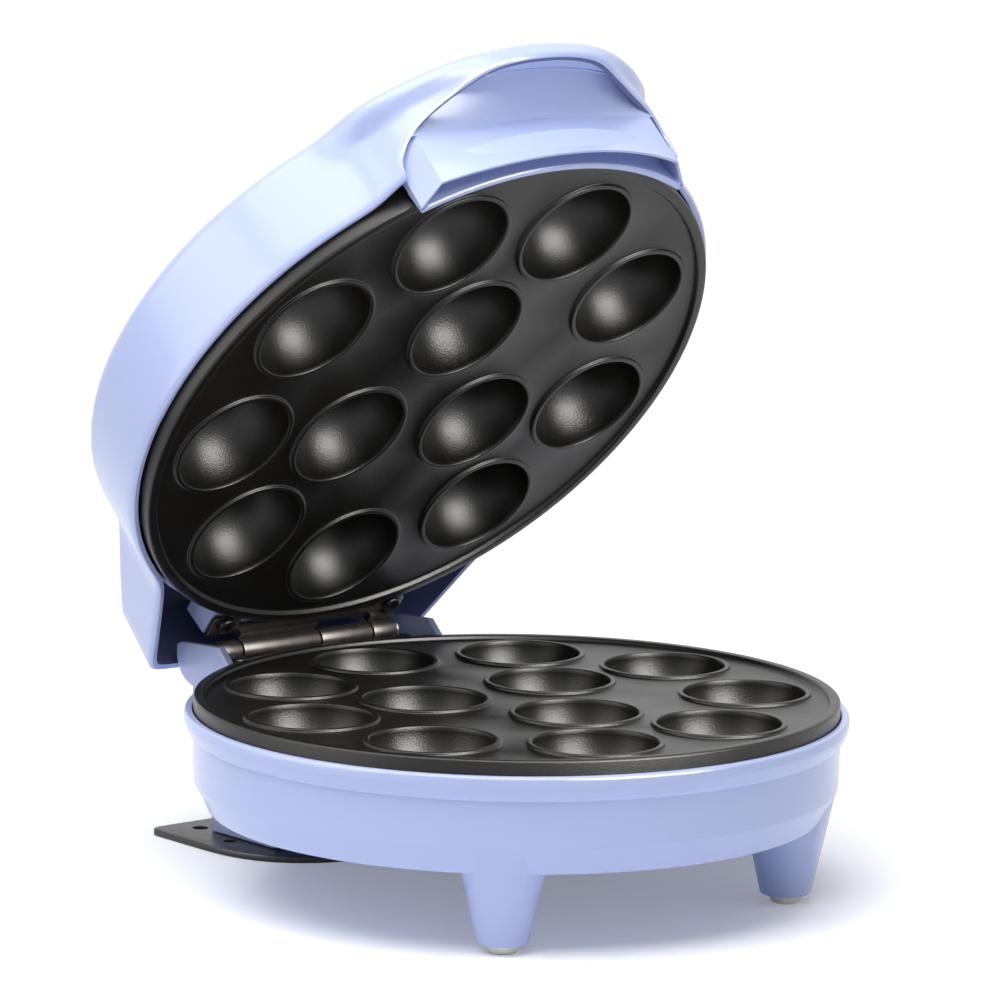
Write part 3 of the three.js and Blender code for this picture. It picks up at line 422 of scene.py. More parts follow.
PLATE_RADIUS = 99.1
PLATE_SKIRT = 9.0
SKIRT_WALL = 2.5
SKIRT_EDGE = 0.3
FACE_DROP = 1.5
FACE_FILLET = 0.9
RIM_WIDTH = 3.5
RIM_BEAD = 0.8
RIM_BEAD_INSET = 0.75
PLATE_WEB = 3.0
CAVITY_RADIUS = 19.0
CAVITY_WALL = 1.55
CAVITY_LIP_DROP = 0.75
CAVITY_LIP_ROLL = 0.45
CAVITY_LIP_SINK = 0.4
CAVITY_LIP_INSET = 0.35
CAVITY_LIP_FILLET = 0.5
PLATE_SEGMENTS = 192
CAVITY_SEGMENTS = 72
CUP_SEGMENTS = 36
PLATE_CREASE = 40.0
OUTER_RING = 70.9
INNER_RING = 28.6
BOSS_RING = 86.0
CAVITIES = ring_spots(9, OUTER_RING, 90) + ring_spots(3, INNER_RING, 270)
BOSSES = ring_spots(3, BOSS_RING, 30)


def ring_edges(bm, ring):
    """The edges about a ring, made where no face has made them yet."""
    pairs = zip(ring, ring[1:] + ring[:1])
    return [bm.edges.get(pair) or bm.edges.new(pair) for pair in pairs]


def swept_loops(bm, loops, segments, x=0.0, y=0.0):
    """Rings of (radius, height) about a spot, joined by faces; gives the first ring and the last one."""
    rings = [
        [bm.verts.new((x + across, y + back, height)) for across, back in ring_spots(segments, radius)]
        for radius, height in loops
    ]
    bridged(bm, rings, False)
    return rings[0], rings[-1]


def arc(centre_r, centre_z, radius, start, end, steps):
    """Points of an arc in a profile, angles in degrees from outwards, upwards."""
    turns = [math.radians(start + (end - start) * step / steps) for step in range(steps + 1)]
    return [(centre_r + radius * math.cos(turn), centre_z + radius * math.sin(turn)) for turn in turns]


def rim_profile(under):
    """The plate's edge in (radius, height): from the face over the rim, down the skirt and back under."""
    rim_inside = PLATE_RADIUS - RIM_WIDTH
    skirt_inside = PLATE_RADIUS - SKIRT_WALL
    return (
        arc(rim_inside - FACE_FILLET, -FACE_DROP + FACE_FILLET, FACE_FILLET, -90, -20, 3)
        + arc(rim_inside + RIM_BEAD_INSET, -RIM_BEAD, RIM_BEAD, 150, 90, 3)
        + arc(PLATE_RADIUS - RIM_BEAD, -RIM_BEAD, RIM_BEAD, 90, 0, 4)
        + [(PLATE_RADIUS, -PLATE_SKIRT + SKIRT_EDGE), (PLATE_RADIUS - SKIRT_EDGE, -PLATE_SKIRT)]
        + [(skirt_inside, -PLATE_SKIRT), (skirt_inside, under)]
    )


def cavity_profile():
    """A cavity in (radius, height): up from the face, over the lip and down the half ball."""
    lip_outside = CAVITY_RADIUS + CAVITY_WALL
    roll_level = -CAVITY_LIP_DROP - CAVITY_LIP_ROLL * CAVITY_LIP_SINK
    fillet = CAVITY_LIP_FILLET
    return (
        arc(lip_outside + fillet, -FACE_DROP + fillet, fillet, -90, -175, 3)
        + arc(lip_outside - CAVITY_LIP_ROLL, roll_level, CAVITY_LIP_ROLL, 10, 90, 3)
        + arc(CAVITY_RADIUS + CAVITY_LIP_INSET, roll_level, CAVITY_LIP_ROLL, 90, 160, 3)
        + arc(0, -CAVITY_LIP_DROP, CAVITY_RADIUS, -4, -88.5, 22)
    )


def cast_plate():
    """The plate with its face up: rim, flat face, twelve lipped half balls, and the cups below."""
    bm = bmesh.new()
    under = -FACE_DROP - PLATE_WEB
    first, last = swept_loops(bm, rim_profile(under), PLATE_SEGMENTS)
    face_edges, under_edges = ring_edges(bm, first), ring_edges(bm, last)
    cup_radius = CAVITY_RADIUS + CAVITY_WALL
    cup_start = math.degrees(math.asin((under + CAVITY_LIP_DROP) / cup_radius))
    cup_profile = arc(0, -CAVITY_LIP_DROP, cup_radius, cup_start, -86, 8)
    for x, y in CAVITIES:
        first, last = swept_loops(bm, cavity_profile(), CAVITY_SEGMENTS, x, y)
        bm.faces.new(last)
        face_edges += ring_edges(bm, first)
        first, last = swept_loops(bm, cup_profile, CUP_SEGMENTS, x, y)
        bm.faces.new(last)
        under_edges += ring_edges(bm, first)
    for edges in (face_edges, under_edges):
        bmesh.ops.triangle_fill(bm, edges=edges, use_beauty=True, use_dissolve=False)
    return cleaned(bm)


def add_plates():
    upside_down = Matrix.Rotation(math.pi, 4, "Y")
    piece("lower_plate_casting", cast_plate(), COATING, "base", "lower_plate", PLATE_CREASE)
    piece("upper_plate_casting", cast_plate(), COATING, "lid", "upper_plate", PLATE_CREASE, upside_down)


# Base housing

GAP = 0.3
SLACK = 0.01
SIDE_SLACK = 0.02
OVERSHOOT = 2.0
ROUND_SEGMENTS = 240
RIM_RADIUS = 102.0
RIM_DROP = 4.4
BAND_DROP = 11.2
WALL_RADIUS = 99.4
BREAK_RADIUS = 98.9
BREAK_DROP = 26.3
FLOOR_RADIUS = 94.4
FLOOR_DROP = 35.3
WALL = 2.2
MOUTH_DROP = 9.3
LEG_X = 55.8
LEG_Y = -62.7
LEG_TIP = 8.0
LEG_DROP = 58.2
LEG_DRAFT = 0.211
LEG_ROOT_DROP = 26.0
PAD_SEAT_RADIUS = 5.6
PAD_SEAT_DEPTH = 1.6
PAD_TOP_DEPTH = 1.3
PAD_TOP_RADIUS = 5.3
PAD_MIDDLE_RADIUS = 5.2
PAD_FOOT_RADIUS = 4.3
BLOCK_HALF = 43.0
BLOCK_FRONT = 80.0
BLOCK_BACK = 108.9
BLOCK_DROP = 36.0
BLOCK_CHAMFER = 1.0
EAR_THICKNESS = 2.5
EAR_REACH = 9.9
EAR_FOOT = -16.0
# Points (y, z) from the foot over the front to where the ear's round back starts.
EAR_FRONT = [(87.7, EAR_FOOT), (90.2, -0.2), (95.0, 4.3), (114.4, 3.3)]
EAR_ARC_START = 2.2
EAR_ARC_STEPS = 10
PEDESTAL_HALF = 33.5
PEDESTAL_BACK = 112.0
PEDESTAL_FRONT = 78.0
FOOT_THICKNESS = 2.2
FOOT_HALF = 46.0
FOOT_FRONT = 57.3
FOOT_MIDDLE = 100.0
FOOT_BACK = 127.6
FOOT_CORNER = 4.0
FOOT_SQUARENESS = 2.5
FOOT_BOW_STEPS = 48
FOOT_BEVEL = 0.55
FOOT_SCREW_X = 20.0
FOOT_SCREW_Y = 95.0
# Holes on either side as x, y and radius, and the screws' wells as radius and depth.
FOOT_HOLES = [(33.0, 117.5, 2.6), (37.0, 96.5, 2.2), (FOOT_SCREW_X, FOOT_SCREW_Y, 1.9)]
FOOT_WELL = (3.95, 1.75)
HOUSING_WELL = (3.7, 2.1)
GLAND_DROP = 24.0
GLAND_HOLE = 5.2
GLAND_HOLE_REACH = 6.0
GLAND_BORE = 3.2
GLAND_NECK = 4.9
GLAND_COLLAR = 7.5
GLAND_INNER_END = -3.2
GLAND_OUTER_END = 2.1
GLAND_SEGMENTS = 56


def bowl():
    mouth = PLATE_RADIUS + GAP
    profile = rounded([
        (0, -FLOOR_DROP, 0),
        (FLOOR_RADIUS, -FLOOR_DROP, 1.6),
        (BREAK_RADIUS, -BREAK_DROP, 1.2),
        (WALL_RADIUS - 0.1, -BAND_DROP - 0.9, 0.5),
        (RIM_RADIUS - 1.5, -BAND_DROP + 0.1, 0.7),
        (RIM_RADIUS, -RIM_DROP - 3.2, 2.5),
        (RIM_RADIUS, -RIM_DROP, 1.5),
        (mouth, -RIM_DROP, 0.5),
        (mouth, -MOUTH_DROP, 0),
        (WALL_RADIUS - WALL, -MOUTH_DROP - WALL, 0),
        (BREAK_RADIUS - WALL, -BREAK_DROP, 0),
        (FLOOR_RADIUS - WALL, -FLOOR_DROP + WALL, 0),
        (0, -FLOOR_DROP + WALL, 0),
    ], steps=5)
    return revolved(profile, ROUND_SEGMENTS)


def bowl_space():
    """The room inside the bowl, a hair off its faces, which clears away what reaches in from outside."""
    mouth = PLATE_RADIUS + GAP + SLACK
    floor = -FLOOR_DROP + WALL + SLACK
    return revolved([
        (0, floor),
        (FLOOR_RADIUS - WALL - SLACK, floor),
        (BREAK_RADIUS - WALL - SLACK, -BREAK_DROP),
        (WALL_RADIUS - WALL - SLACK, -MOUTH_DROP - WALL),
        (mouth, -MOUTH_DROP),
        (mouth, RIM_DROP * 2),
        (0, RIM_DROP * 2),
    ], ROUND_SEGMENTS)


def front_leg(side):
    """A tapered leg with the seat of its pad; side is -1 at the left and 1 at the right."""
    root = LEG_TIP + LEG_DRAFT * (LEG_DROP - LEG_ROOT_DROP)
    seat = -LEG_DROP + PAD_SEAT_DEPTH
    profile = rounded([
        (0, seat, 0),
        (PAD_SEAT_RADIUS, seat, 0.2),
        (PAD_SEAT_RADIUS, -LEG_DROP, 0.5),
        (LEG_TIP - 0.2, -LEG_DROP, 2.2),
        (root, -LEG_ROOT_DROP, 0),
        (0, -LEG_ROOT_DROP, 0),
    ], steps=6)
    return moved(revolved(profile), side * LEG_X, LEG_Y)


def hinge_arc(start_z, end_y):
    """Points (y, z) down the arc about the hinge line from a height to a depth behind it."""
    start = math.asin((start_z + HINGE_DROP) / EAR_REACH)
    end = -math.acos((end_y - HINGE_Y) / EAR_REACH)
    return arc(HINGE_Y, -HINGE_DROP, EAR_REACH, math.degrees(start), math.degrees(end), EAR_ARC_STEPS)


def ear(side):
    outline = EAR_FRONT + hinge_arc(EAR_ARC_START, BLOCK_BACK) + [(BLOCK_BACK, EAR_FOOT)]
    inner = BLOCK_HALF - EAR_THICKNESS
    low, high = sorted((side * inner, side * BLOCK_HALF))
    return turned_up(extruded(outline, low, high, 0.5))


def hinge_block():
    deck = math.sqrt(EAR_REACH ** 2 - (RIM_DROP - HINGE_DROP) ** 2)
    outline = [(BLOCK_FRONT, -BLOCK_DROP), (BLOCK_FRONT, -RIM_DROP), (HINGE_Y + deck, -RIM_DROP)]
    outline += hinge_arc(-RIM_DROP, BLOCK_BACK)[1:]
    outline += [(BLOCK_BACK, -BLOCK_DROP + BLOCK_CHAMFER), (BLOCK_BACK - BLOCK_CHAMFER, -BLOCK_DROP)]
    half = BLOCK_HALF - SIDE_SLACK
    return turned_up(extruded(outline, -half, half, 0.6))


def pedestal():
    corners = [
        (-PEDESTAL_HALF, PEDESTAL_FRONT, 1.5),
        (PEDESTAL_HALF, PEDESTAL_FRONT, 1.5),
        (PEDESTAL_HALF, PEDESTAL_BACK, 2.0),
        (-PEDESTAL_HALF, PEDESTAL_BACK, 2.0),
    ]
    return extruded(rounded(corners, 5), -PLATE_LEVEL + FOOT_THICKNESS + GAP, -BLOCK_DROP + WALL, 0.5)


def placed_back(bm):
    """Turns a revolved piece so that its axis points back out of the hinge block's rear face."""
    place = Matrix.Translation((0, BLOCK_BACK, -GLAND_DROP))
    return transformed(bm, place @ Matrix.Rotation(-math.pi / 2, 4, "X"))


def gland_hole():
    return placed_back(drill(GLAND_HOLE, -GLAND_HOLE_REACH, GLAND_HOLE_REACH))


def screw_wells():
    radius, depth = HOUSING_WELL
    return [drill(radius, -FLOOR_DROP - OVERSHOOT, -FLOOR_DROP + depth, x, y) for x, y in BOSSES]


def add_housing():
    joined = [hinge_block(), ear(-1), ear(1), pedestal(), front_leg(-1), front_leg(1)]
    body = combined(bowl(), joined, "UNION")
    body = combined(body, [bowl_space(), gland_hole()] + screw_wells(), "DIFFERENCE")
    piece("housing_shell", cleaned(body), SHELL, "base", "base_housing")


def add_feet():
    top = -LEG_DROP + PAD_TOP_DEPTH
    for label, side in SIDES:
        profile = rounded([
            (0, -PLATE_LEVEL, 0),
            (PAD_FOOT_RADIUS, -PLATE_LEVEL, 1.0),
            (PAD_MIDDLE_RADIUS, -LEG_DROP - 0.5, 0.6),
            (PAD_TOP_RADIUS, top, 0.2),
            (0, top, 0),
        ])
        pad = moved(revolved(profile, SMALL_SEGMENTS), side * LEG_X, LEG_Y)
        piece(f"{label}_rubber_pad", pad, RUBBER, "base", f"front_{label}_pad")


def squared_off(value):
    return math.copysign(abs(value) ** (2 / FOOT_SQUARENESS), value)


def foot_outline():
    """The foot plate from above: two round corners at the back, then a squarish bow round the front."""
    corner_x, corner_y = FOOT_HALF - FOOT_CORNER, FOOT_BACK - FOOT_CORNER
    points = arc(corner_x, corner_y, FOOT_CORNER, 0, 90, 6)
    points += arc(-corner_x, corner_y, FOOT_CORNER, 90, 180, 6)
    for across, ahead in arc(0, 0, 1, 180, 360, FOOT_BOW_STEPS):
        y = FOOT_MIDDLE + (FOOT_MIDDLE - FOOT_FRONT) * squared_off(ahead)
        points.append((FOOT_HALF * squared_off(across), y))
    return points


def add_foot_plate():
    floor = -PLATE_LEVEL
    slab = extruded(foot_outline(), floor, floor + FOOT_THICKNESS, FOOT_BEVEL, 3)
    holes = []
    for x, y, radius in FOOT_HOLES:
        for side in (-1, 1):
            holes.append(drill(radius, floor - OVERSHOOT, floor + 2 * OVERSHOOT, side * x, y))
    radius, depth = FOOT_WELL
    for side in (-1, 1):
        holes.append(drill(radius, floor - OVERSHOOT, floor + depth, side * FOOT_SCREW_X, FOOT_SCREW_Y))
    slab = cleaned(combined(slab, holes, "DIFFERENCE"))
    piece("foot_slab", slab, BLACK, "base", "rear_foot_plate")


def add_gland():
    profile = rounded([
        (GLAND_BORE, GLAND_INNER_END, 0.3),
        (GLAND_NECK, GLAND_INNER_END, 0),
        (GLAND_NECK, GAP, 0),
        (GLAND_COLLAR, GAP, 0.2),
        (GLAND_COLLAR, GLAND_OUTER_END, 0.9),
        (GLAND_BORE, GLAND_OUTER_END, 0.5),
    ])
    entry = placed_back(revolved(profile, GLAND_SEGMENTS))
    piece("cord_entry", entry, BLACK, "base", "cord_gland")


# Lid shell

LID_RADIUS = 102.3
LID_RIM = 4.4
SHOULDER_RADIUS = 100.3
SHOULDER_RISE = 33.4
SHOULDER_FILLET = 5.0
LID_HEIGHT = 51.2
LID_WALL = 2.3
FOOT_WALL = 2.6
FOOT_EDGE = 1.4
FOOT_EDGE_DEPTH = 0.6
# The rounded outer edge along the shell's foot, as shares inwards and upwards.
FOOT_EDGE_SHARES = [(1.5, 0.0), (1.05, 0.12), (0.55, 0.55), (0.2, 1.1), (0.0, 2.0)]
FOOT_INNER_LIFT = 0.3
WALL_ROWS = 9
SHOULDER_TURN = 74.4
SHOULDER_STEPS = 7
DOME_SHARES = [0.97, 0.92, 0.85, 0.76, 0.66, 0.55, 0.43, 0.3, 0.17, 0.06, 0.0]
RING_FOOT = 8.0
RING_TOP = 24.0
RING_FOOT_WALL = 1.4
RING_TOP_WALL = 0.9
RING_EASE = 1.2
DECK_FRONT = 92.0
DECK_BACK = 103.6
DECK_TOP = 15.0
DECK_HALF = 38.6
DECK_CLEARANCE = 1.4
DECK_SPACE = (-4.0, 30.0)
LAMP_X = 9.0
LAMP_Y = 58.0
LAMP_HOLE = 3.5
LAMP_HOLE_SPAN = (30.0, 60.0)
INSIDE_LEVEL = 30.0
DOME_EDGE_RADIUS = 98.0
DOME_EDGE_DROP = 13.6
DOME_FULLNESS = 2.05
NOSE_REACH = 22.9
# The nose's reach at its foot and at its shoulder, as shares given every five degrees from the front.
NOSE_STEP = 5.0
NOSE_LOW_TOP = 24.6
NOSE_HIGH_SHARES = [0.98, 0.97, 0.95, 0.88, 0.77, 0.64, 0.48, 0.15, 0.0]
NOSE_LOW_SHARES = [1.0, 0.99, 0.92, 0.74, 0.58, 0.46, 0.25, 0.05, 0.0]
COWL_BACK = 120.3
COWL_CORNER_X = 52.0
COWL_SIDE_X = 62.5
COWL_SIDE_Y = 88.9
COWL_BLEND = 3.0
LEAST_BACK = 0.02
LEVEL_ROUNDS = 6
ARCH_HALF = 53.0
ARCH_CROWN = 22.5
ARCH_SQUARENESS = 3.3
# Turns in degrees, as start, end and step.
ALL_TURNS = (-180.0, 180.0, 1.5)
ARCH_END_TURNS = (26.0, 33.0, 0.25)
COWL_CORNER_TURNS = (150.0, 164.0, 0.75)


def smoothed(shares, turn):
    """A smooth curve through shares given every nose step, at a turn in degrees from the front."""
    mirrored = [shares[1]] + shares + [0.0, 0.0]
    place = min(turn / NOSE_STEP, len(shares) - 1)
    index = min(int(place), len(shares) - 1)
    along = place - index
    return max(between_points(*mirrored[index:index + 4], along), 0.0)


def soft_max(a, b, blend):
    return (a + b + math.hypot(a - b, blend)) / 2


def soft_min(a, b, blend):
    return -soft_max(-a, -b, blend)


def cap_height(radius):
    return LID_HEIGHT - DOME_EDGE_DROP * (radius / DOME_EDGE_RADIUS) ** DOME_FULLNESS


def plan_radius(theta, height):
    """How far out the wall stands. Theta is 0 at the front, and the nose changes with the height."""
    across, back = abs(math.sin(theta)), -math.cos(theta)
    if back < 0:
        turn = math.degrees(abs(math.atan2(math.sin(theta), math.cos(theta))))
        share = min(max((height - NOSE_LOW_TOP) / (SHOULDER_RISE - NOSE_LOW_TOP), 0), 1)
        share = share * share * (3 - 2 * share)
        low, high = smoothed(NOSE_LOW_SHARES, turn), smoothed(NOSE_HIGH_SHARES, turn)
        return LID_RADIUS + NOSE_REACH * (low + (high - low) * share)
    slope = (COWL_SIDE_X - COWL_CORNER_X) / (COWL_BACK - COWL_SIDE_Y)
    side = (COWL_CORNER_X + slope * COWL_BACK) / (across + slope * back)
    rear = COWL_BACK / max(back, LEAST_BACK)
    return soft_max(LID_RADIUS, soft_min(side, rear, COWL_BLEND), COWL_BLEND)


def to_plan(theta, radius, height):
    """Draws a point of the round shell out to its plan, with its height kept in step with the dome's."""
    stretch = plan_radius(theta, height) / LID_RADIUS
    rise = (cap_height(radius * stretch) - LID_RIM) / (cap_height(radius) - LID_RIM)
    level = LID_RIM + (height - LID_RIM) * rise if height > LID_RIM else height
    return radius * stretch, level


def wall_radius(height):
    share = (height - LID_RIM) / (SHOULDER_RISE - LID_RIM)
    return LID_RADIUS + (SHOULDER_RADIUS - LID_RADIUS) * share


def shell_foot(theta):
    """Height of the shell's lower edge: level, but arched over the grip."""
    if math.cos(theta) > 0:
        x = plan_radius(theta, LID_RIM) * abs(math.sin(theta))
        if x < ARCH_HALF:
            share = (1 - (x / ARCH_HALF) ** ARCH_SQUARENESS) ** (1 / ARCH_SQUARENESS)
            return max(ARCH_CROWN * share, LID_RIM)
    return LID_RIM


def unplanned(theta, level):
    """The height before the nose's lowering of the walls that ends at a level."""
    height = level
    for _ in range(LEVEL_ROUNDS):
        _, reached = to_plan(theta, wall_radius(height), height)
        height += level - reached
    return height


def shell_section(theta, inset):
    """Points (radius, height) up the wall, round the shoulder and over the dome to the middle."""
    foot = unplanned(theta, shell_foot(theta))
    points = []
    if inset == 0:
        for share_in, share_up in FOOT_EDGE_SHARES:
            start = foot + FOOT_EDGE * share_up
            points.append((wall_radius(start) - FOOT_EDGE * share_in * FOOT_EDGE_DEPTH, start))
    else:
        points.append((wall_radius(foot) - FOOT_WALL, foot + FOOT_INNER_LIFT))
        start = foot + FOOT_EDGE * FOOT_INNER_LIFT
    for row in range(1, WALL_ROWS):
        height = start + (SHOULDER_RISE - start) * row / WALL_ROWS
        points.append((wall_radius(height) - inset, height))
    centre = SHOULDER_RADIUS - SHOULDER_FILLET
    points += arc(centre, SHOULDER_RISE, SHOULDER_FILLET - inset, 0, SHOULDER_TURN, SHOULDER_STEPS)
    last = points[-1][0]
    for share in DOME_SHARES:
        points.append((last * share, cap_height(last * share) - inset))
    return [to_plan(theta, radius, height) for radius, height in points]


def shell_angles():
    """Turns from the front, closer where the arch over the grip ends and at the cowl's corners."""
    turns = set(np.round(np.arange(*ALL_TURNS), 3))
    for side in (-1, 1):
        turns |= set(np.round(side * np.arange(*ARCH_END_TURNS), 3))
        turns |= set(np.round(side * np.arange(*COWL_CORNER_TURNS), 3))
    return [math.radians(turn) for turn in sorted(turns)]


def at_turn(theta, radius, height):
    return (radius * math.sin(theta), -radius * math.cos(theta), height)


def dome_shell():
    """The dome's outer and inner skin, joined along the lower edge."""
    sections = []
    for theta in shell_angles():
        outside = shell_section(theta, 0)
        inside = shell_section(theta, LID_WALL)
        sections.append([at_turn(theta, r, z) for r, z in outside + inside[::-1]])
    bm = bmesh.new()
    rings = [[bm.verts.new(point) for point in section] for section in sections]
    top = len(shell_section(0, 0)) - 1
    return cleaned(bridged(bm, rings, True, [top]))


def lamp_holes():
    return [drill(LAMP_HOLE, *LAMP_HOLE_SPAN, side * LAMP_X, LAMP_Y) for side in (-1, 1)]


def plate_ring():
    """The thin wall that stands about the upper plate, drafted as the shell's side is."""
    foot, top = PLATE_RADIUS + RING_EASE, PLATE_RADIUS + GAP
    return revolved(rounded([
        (foot, RING_FOOT, 0.4),
        (foot + RING_FOOT_WALL, RING_FOOT, 0.4),
        (top + RING_TOP_WALL, RING_TOP, 0),
        (top, RING_TOP, 0),
    ]), ROUND_SEGMENTS)


def hinge_deck():
    """The shelf under the cowl that the upper leaf is screwed to."""
    outline = [(DECK_FRONT, LID_RIM), (DECK_BACK, LID_RIM), (DECK_BACK, DECK_TOP), (DECK_FRONT, DECK_TOP)]
    deck = turned_up(extruded(outline, -DECK_HALF, DECK_HALF, 0.5))
    space = drill(PLATE_RADIUS + DECK_CLEARANCE, *DECK_SPACE, segments=ROUND_SEGMENTS)
    return combined(deck, [space], "DIFFERENCE")


def add_lid_shell():
    shell = combined(dome_shell(), lamp_holes(), "DIFFERENCE")
    whole = gathered([cleaned(shell), plate_ring(), hinge_deck()])
    dome = piece("lid_dome", whole, SHELL, "lid", "lid_shell")
    dome.data.materials.append(INNER_PAINTED_SHADE)
    # Faces that look towards the middle of the lid get a duller, darker copy of the shell plastic; its
    # dark colour is painted shade for the lid's inside.
    middle = lid_frame @ Vector((0, 0, INSIDE_LEVEL))
    for polygon in dome.data.polygons:
        if polygon.normal.dot(polygon.center - middle) < 0:
            polygon.material_index = 1


# Handle

GRIP_DROP = 5.0
GRIP_END_LIFT = 2.0
GRIP_RADIUS = 108.7
GRIP_CORNER_X = 46.0
GRIP_END = (51.1, 90.4)
GRIP_TOP = 16.7
GRIP_TOP_Y = 101.6
GRIP_TOP_SAG = 1.2
GRIP_TOP_CORNER_X = 45.5
GRIP_TOP_END = (51.3, 93.0, 15.0)
GRIP_SKIRT_INSIDE = 101.9
GRIP_LIP_INSIDE = 101.0
GRIP_LIP_OUTSIDE = 103.2
GRIP_LIP_RISE = 3.6
GRIP_LIP_SLOPE = 0.6
GRIP_EDGE = 0.4
GRIP_EASE = 0.5
GRIP_FACE_FOOT = (0.15, 0.6)
GRIP_FACE_SHARES = (0.25, 0.5, 0.75)
GRIP_FACE_TOP = (0.7, 0.2)
GRIP_TOP_ROLL = Vector((0, 0.25, 0.05))
GRIP_TOP_FLAT = Vector((0, 0.9, 0.1))
GRIP_STEPS = 48
SLOT_OUTSIDE = 107.6
SLOT_DEPTH = 11.0
SLOT_SKIN = 1.1
SLOT_SEAM = 0.02
SLOT_END_SHARE = 0.3
# Shares from the facet's outer edge to the front's corner, and whether the slot is open there.
END_STEPS = [
    (0.0, False),
    (SLOT_END_SHARE, False),
    (SLOT_END_SHARE + 0.001, True),
    (0.7, True),
    (0.93, True),
]


def grip_front(share):
    """Lower and upper point of the grip's outer face, for a share from -1 to 1 across it."""
    x = GRIP_CORNER_X * share
    low = Vector((x, -math.sqrt(GRIP_RADIUS ** 2 - x ** 2), -GRIP_DROP + GRIP_END_LIFT * share ** 2))
    high = Vector((GRIP_TOP_CORNER_X * share, -GRIP_TOP_Y + GRIP_TOP_SAG * share ** 2, GRIP_TOP))
    return low, high


def inner_point(low, radius, height):
    """The point at a radius and a height in the direction of a lower front point."""
    out = Vector((low.x, low.y)).normalized()
    return Vector((out.x * radius, out.y * radius, height))


def grip_section(low, high, slotted):
    """A closed section of the grip: outer face, top, back of the skirt, skirt's edge and slot."""
    reach = Vector((low.x, low.y)).length
    slot_top = -GRIP_DROP + (SLOT_DEPTH if slotted else SLOT_SEAM)
    slot_outside = min(SLOT_OUTSIDE, reach - SLOT_SKIN)
    bottom = min(low.z, -GRIP_DROP + GRIP_END_LIFT)
    along = (high - low).normalized()
    section = [inner_point(low, reach - GRIP_EASE, low.z)]
    section += [low + along * rise for rise in GRIP_FACE_FOOT]
    section += [low.lerp(high, share) for share in GRIP_FACE_SHARES]
    under, at = GRIP_FACE_TOP
    section += [high - along * under, high - along * at + GRIP_TOP_ROLL, high + GRIP_TOP_FLAT]
    for radius, height in (
        (GRIP_SKIRT_INSIDE, GRIP_TOP),
        (GRIP_SKIRT_INSIDE, GRIP_LIP_RISE + GRIP_LIP_SLOPE),
        (GRIP_LIP_INSIDE, GRIP_LIP_RISE),
        (GRIP_LIP_INSIDE, -GRIP_DROP + GRIP_EASE),
        (GRIP_LIP_INSIDE + GRIP_EDGE, -GRIP_DROP),
        (GRIP_LIP_OUTSIDE - GRIP_EDGE, -GRIP_DROP),
        (GRIP_LIP_OUTSIDE, -GRIP_DROP + GRIP_EDGE),
        (GRIP_LIP_OUTSIDE, slot_top),
        (slot_outside, slot_top),
        (slot_outside, bottom + GRIP_EDGE),
        (slot_outside + GRIP_EDGE, low.z),
    ):
        section.append(inner_point(low, radius, height))
    return section


def grip_band():
    """The flared band with its ends turned back to the shell, and the slot along its lower edge."""
    sections = end_sections(-1)
    for step in range(GRIP_STEPS + 1):
        low, high = grip_front(-1 + 2 * step / GRIP_STEPS)
        sections.append(grip_section(low, high, True))
    sections += end_sections(1)[::-1]
    return lofted(sections)


def end_sections(side):
    """Sections over the end facet, from its outer edge to the corner of the front face."""
    made = []
    low_corner, high_corner = grip_front(side)
    low_end = Vector((side * GRIP_END[0], -GRIP_END[1], -GRIP_DROP))
    high_end = Vector((side * GRIP_TOP_END[0], -GRIP_TOP_END[1], GRIP_TOP_END[2]))
    for share, slotted in END_STEPS:
        low = low_end.lerp(low_corner, share)
        high = high_end.lerp(high_corner, share)
        reach = Vector((low.x, low.y)).length
        made.append([clamped(point, reach) for point in grip_section(low, high, slotted)])
    return made


def clamped(point, reach):
    """Keeps a point no further out than a reach, except on the outer face's own points."""
    flat = Vector((point.x, point.y))
    if flat.length <= reach or point.z > -GRIP_DROP + GRIP_END_LIFT + GRIP_EASE:
        return point
    flat = flat.normalized() * reach
    return Vector((flat.x, flat.y, point.z))


# Points along the hollow: reach in front of the middle, height, and how much the line bows back across.
SCOOP_POINTS = [(100.4, 15.2, 0.0), (104.0, 19.9, 0.3), (108.5, 23.9, 0.65), (113.0, 26.4, 1.0)]
BEAD_REACH = 113.5
BEAD_RISE = 26.5
BEAD_RADIUS = 0.45
BEAD_POINTS = [(reach, rise, 1.0) for reach, rise in arc(BEAD_REACH, BEAD_RISE, BEAD_RADIUS, 190, 350, 8)]
LEDGE_POINTS = BEAD_POINTS + [(118.4, 26.3, 1.0), (121.3, 25.4, 1.0)]
SCOOP_CURL = 0.7
SCOOP_CURL_START = 34.0
SCOOP_CURL_END = 48.0
SCOOP_CURL_REACH = 6.0
SCOOP_TUCK = 0.3
SCOOP_THICKNESS = 1.5
SCOOP_LEAN = 0.4
SCOOP_MARGIN = 2.0
SCOOP_ARC = 115.3
SCOOP_STEPS = 56
ALONG_STEPS = 8
HALVINGS = 24


def curve_through(points, steps):
    """A smooth run of points through the given ones, ends included."""
    spread = [points[0]] + points + [points[-1]]
    made = []
    for index in range(len(points) - 1):
        four = [Vector(point) for point in spread[index:index + 4]]
        made += [between_points(*four, step / steps) for step in range(steps)]
    return made + [Vector(points[-1])]


def bowed(x, reach, bow):
    """A scoop point's distance in front of the middle, drawn back off its reach as it goes across."""
    return reach - bow * (SCOOP_ARC - math.sqrt(SCOOP_ARC ** 2 - x ** 2))


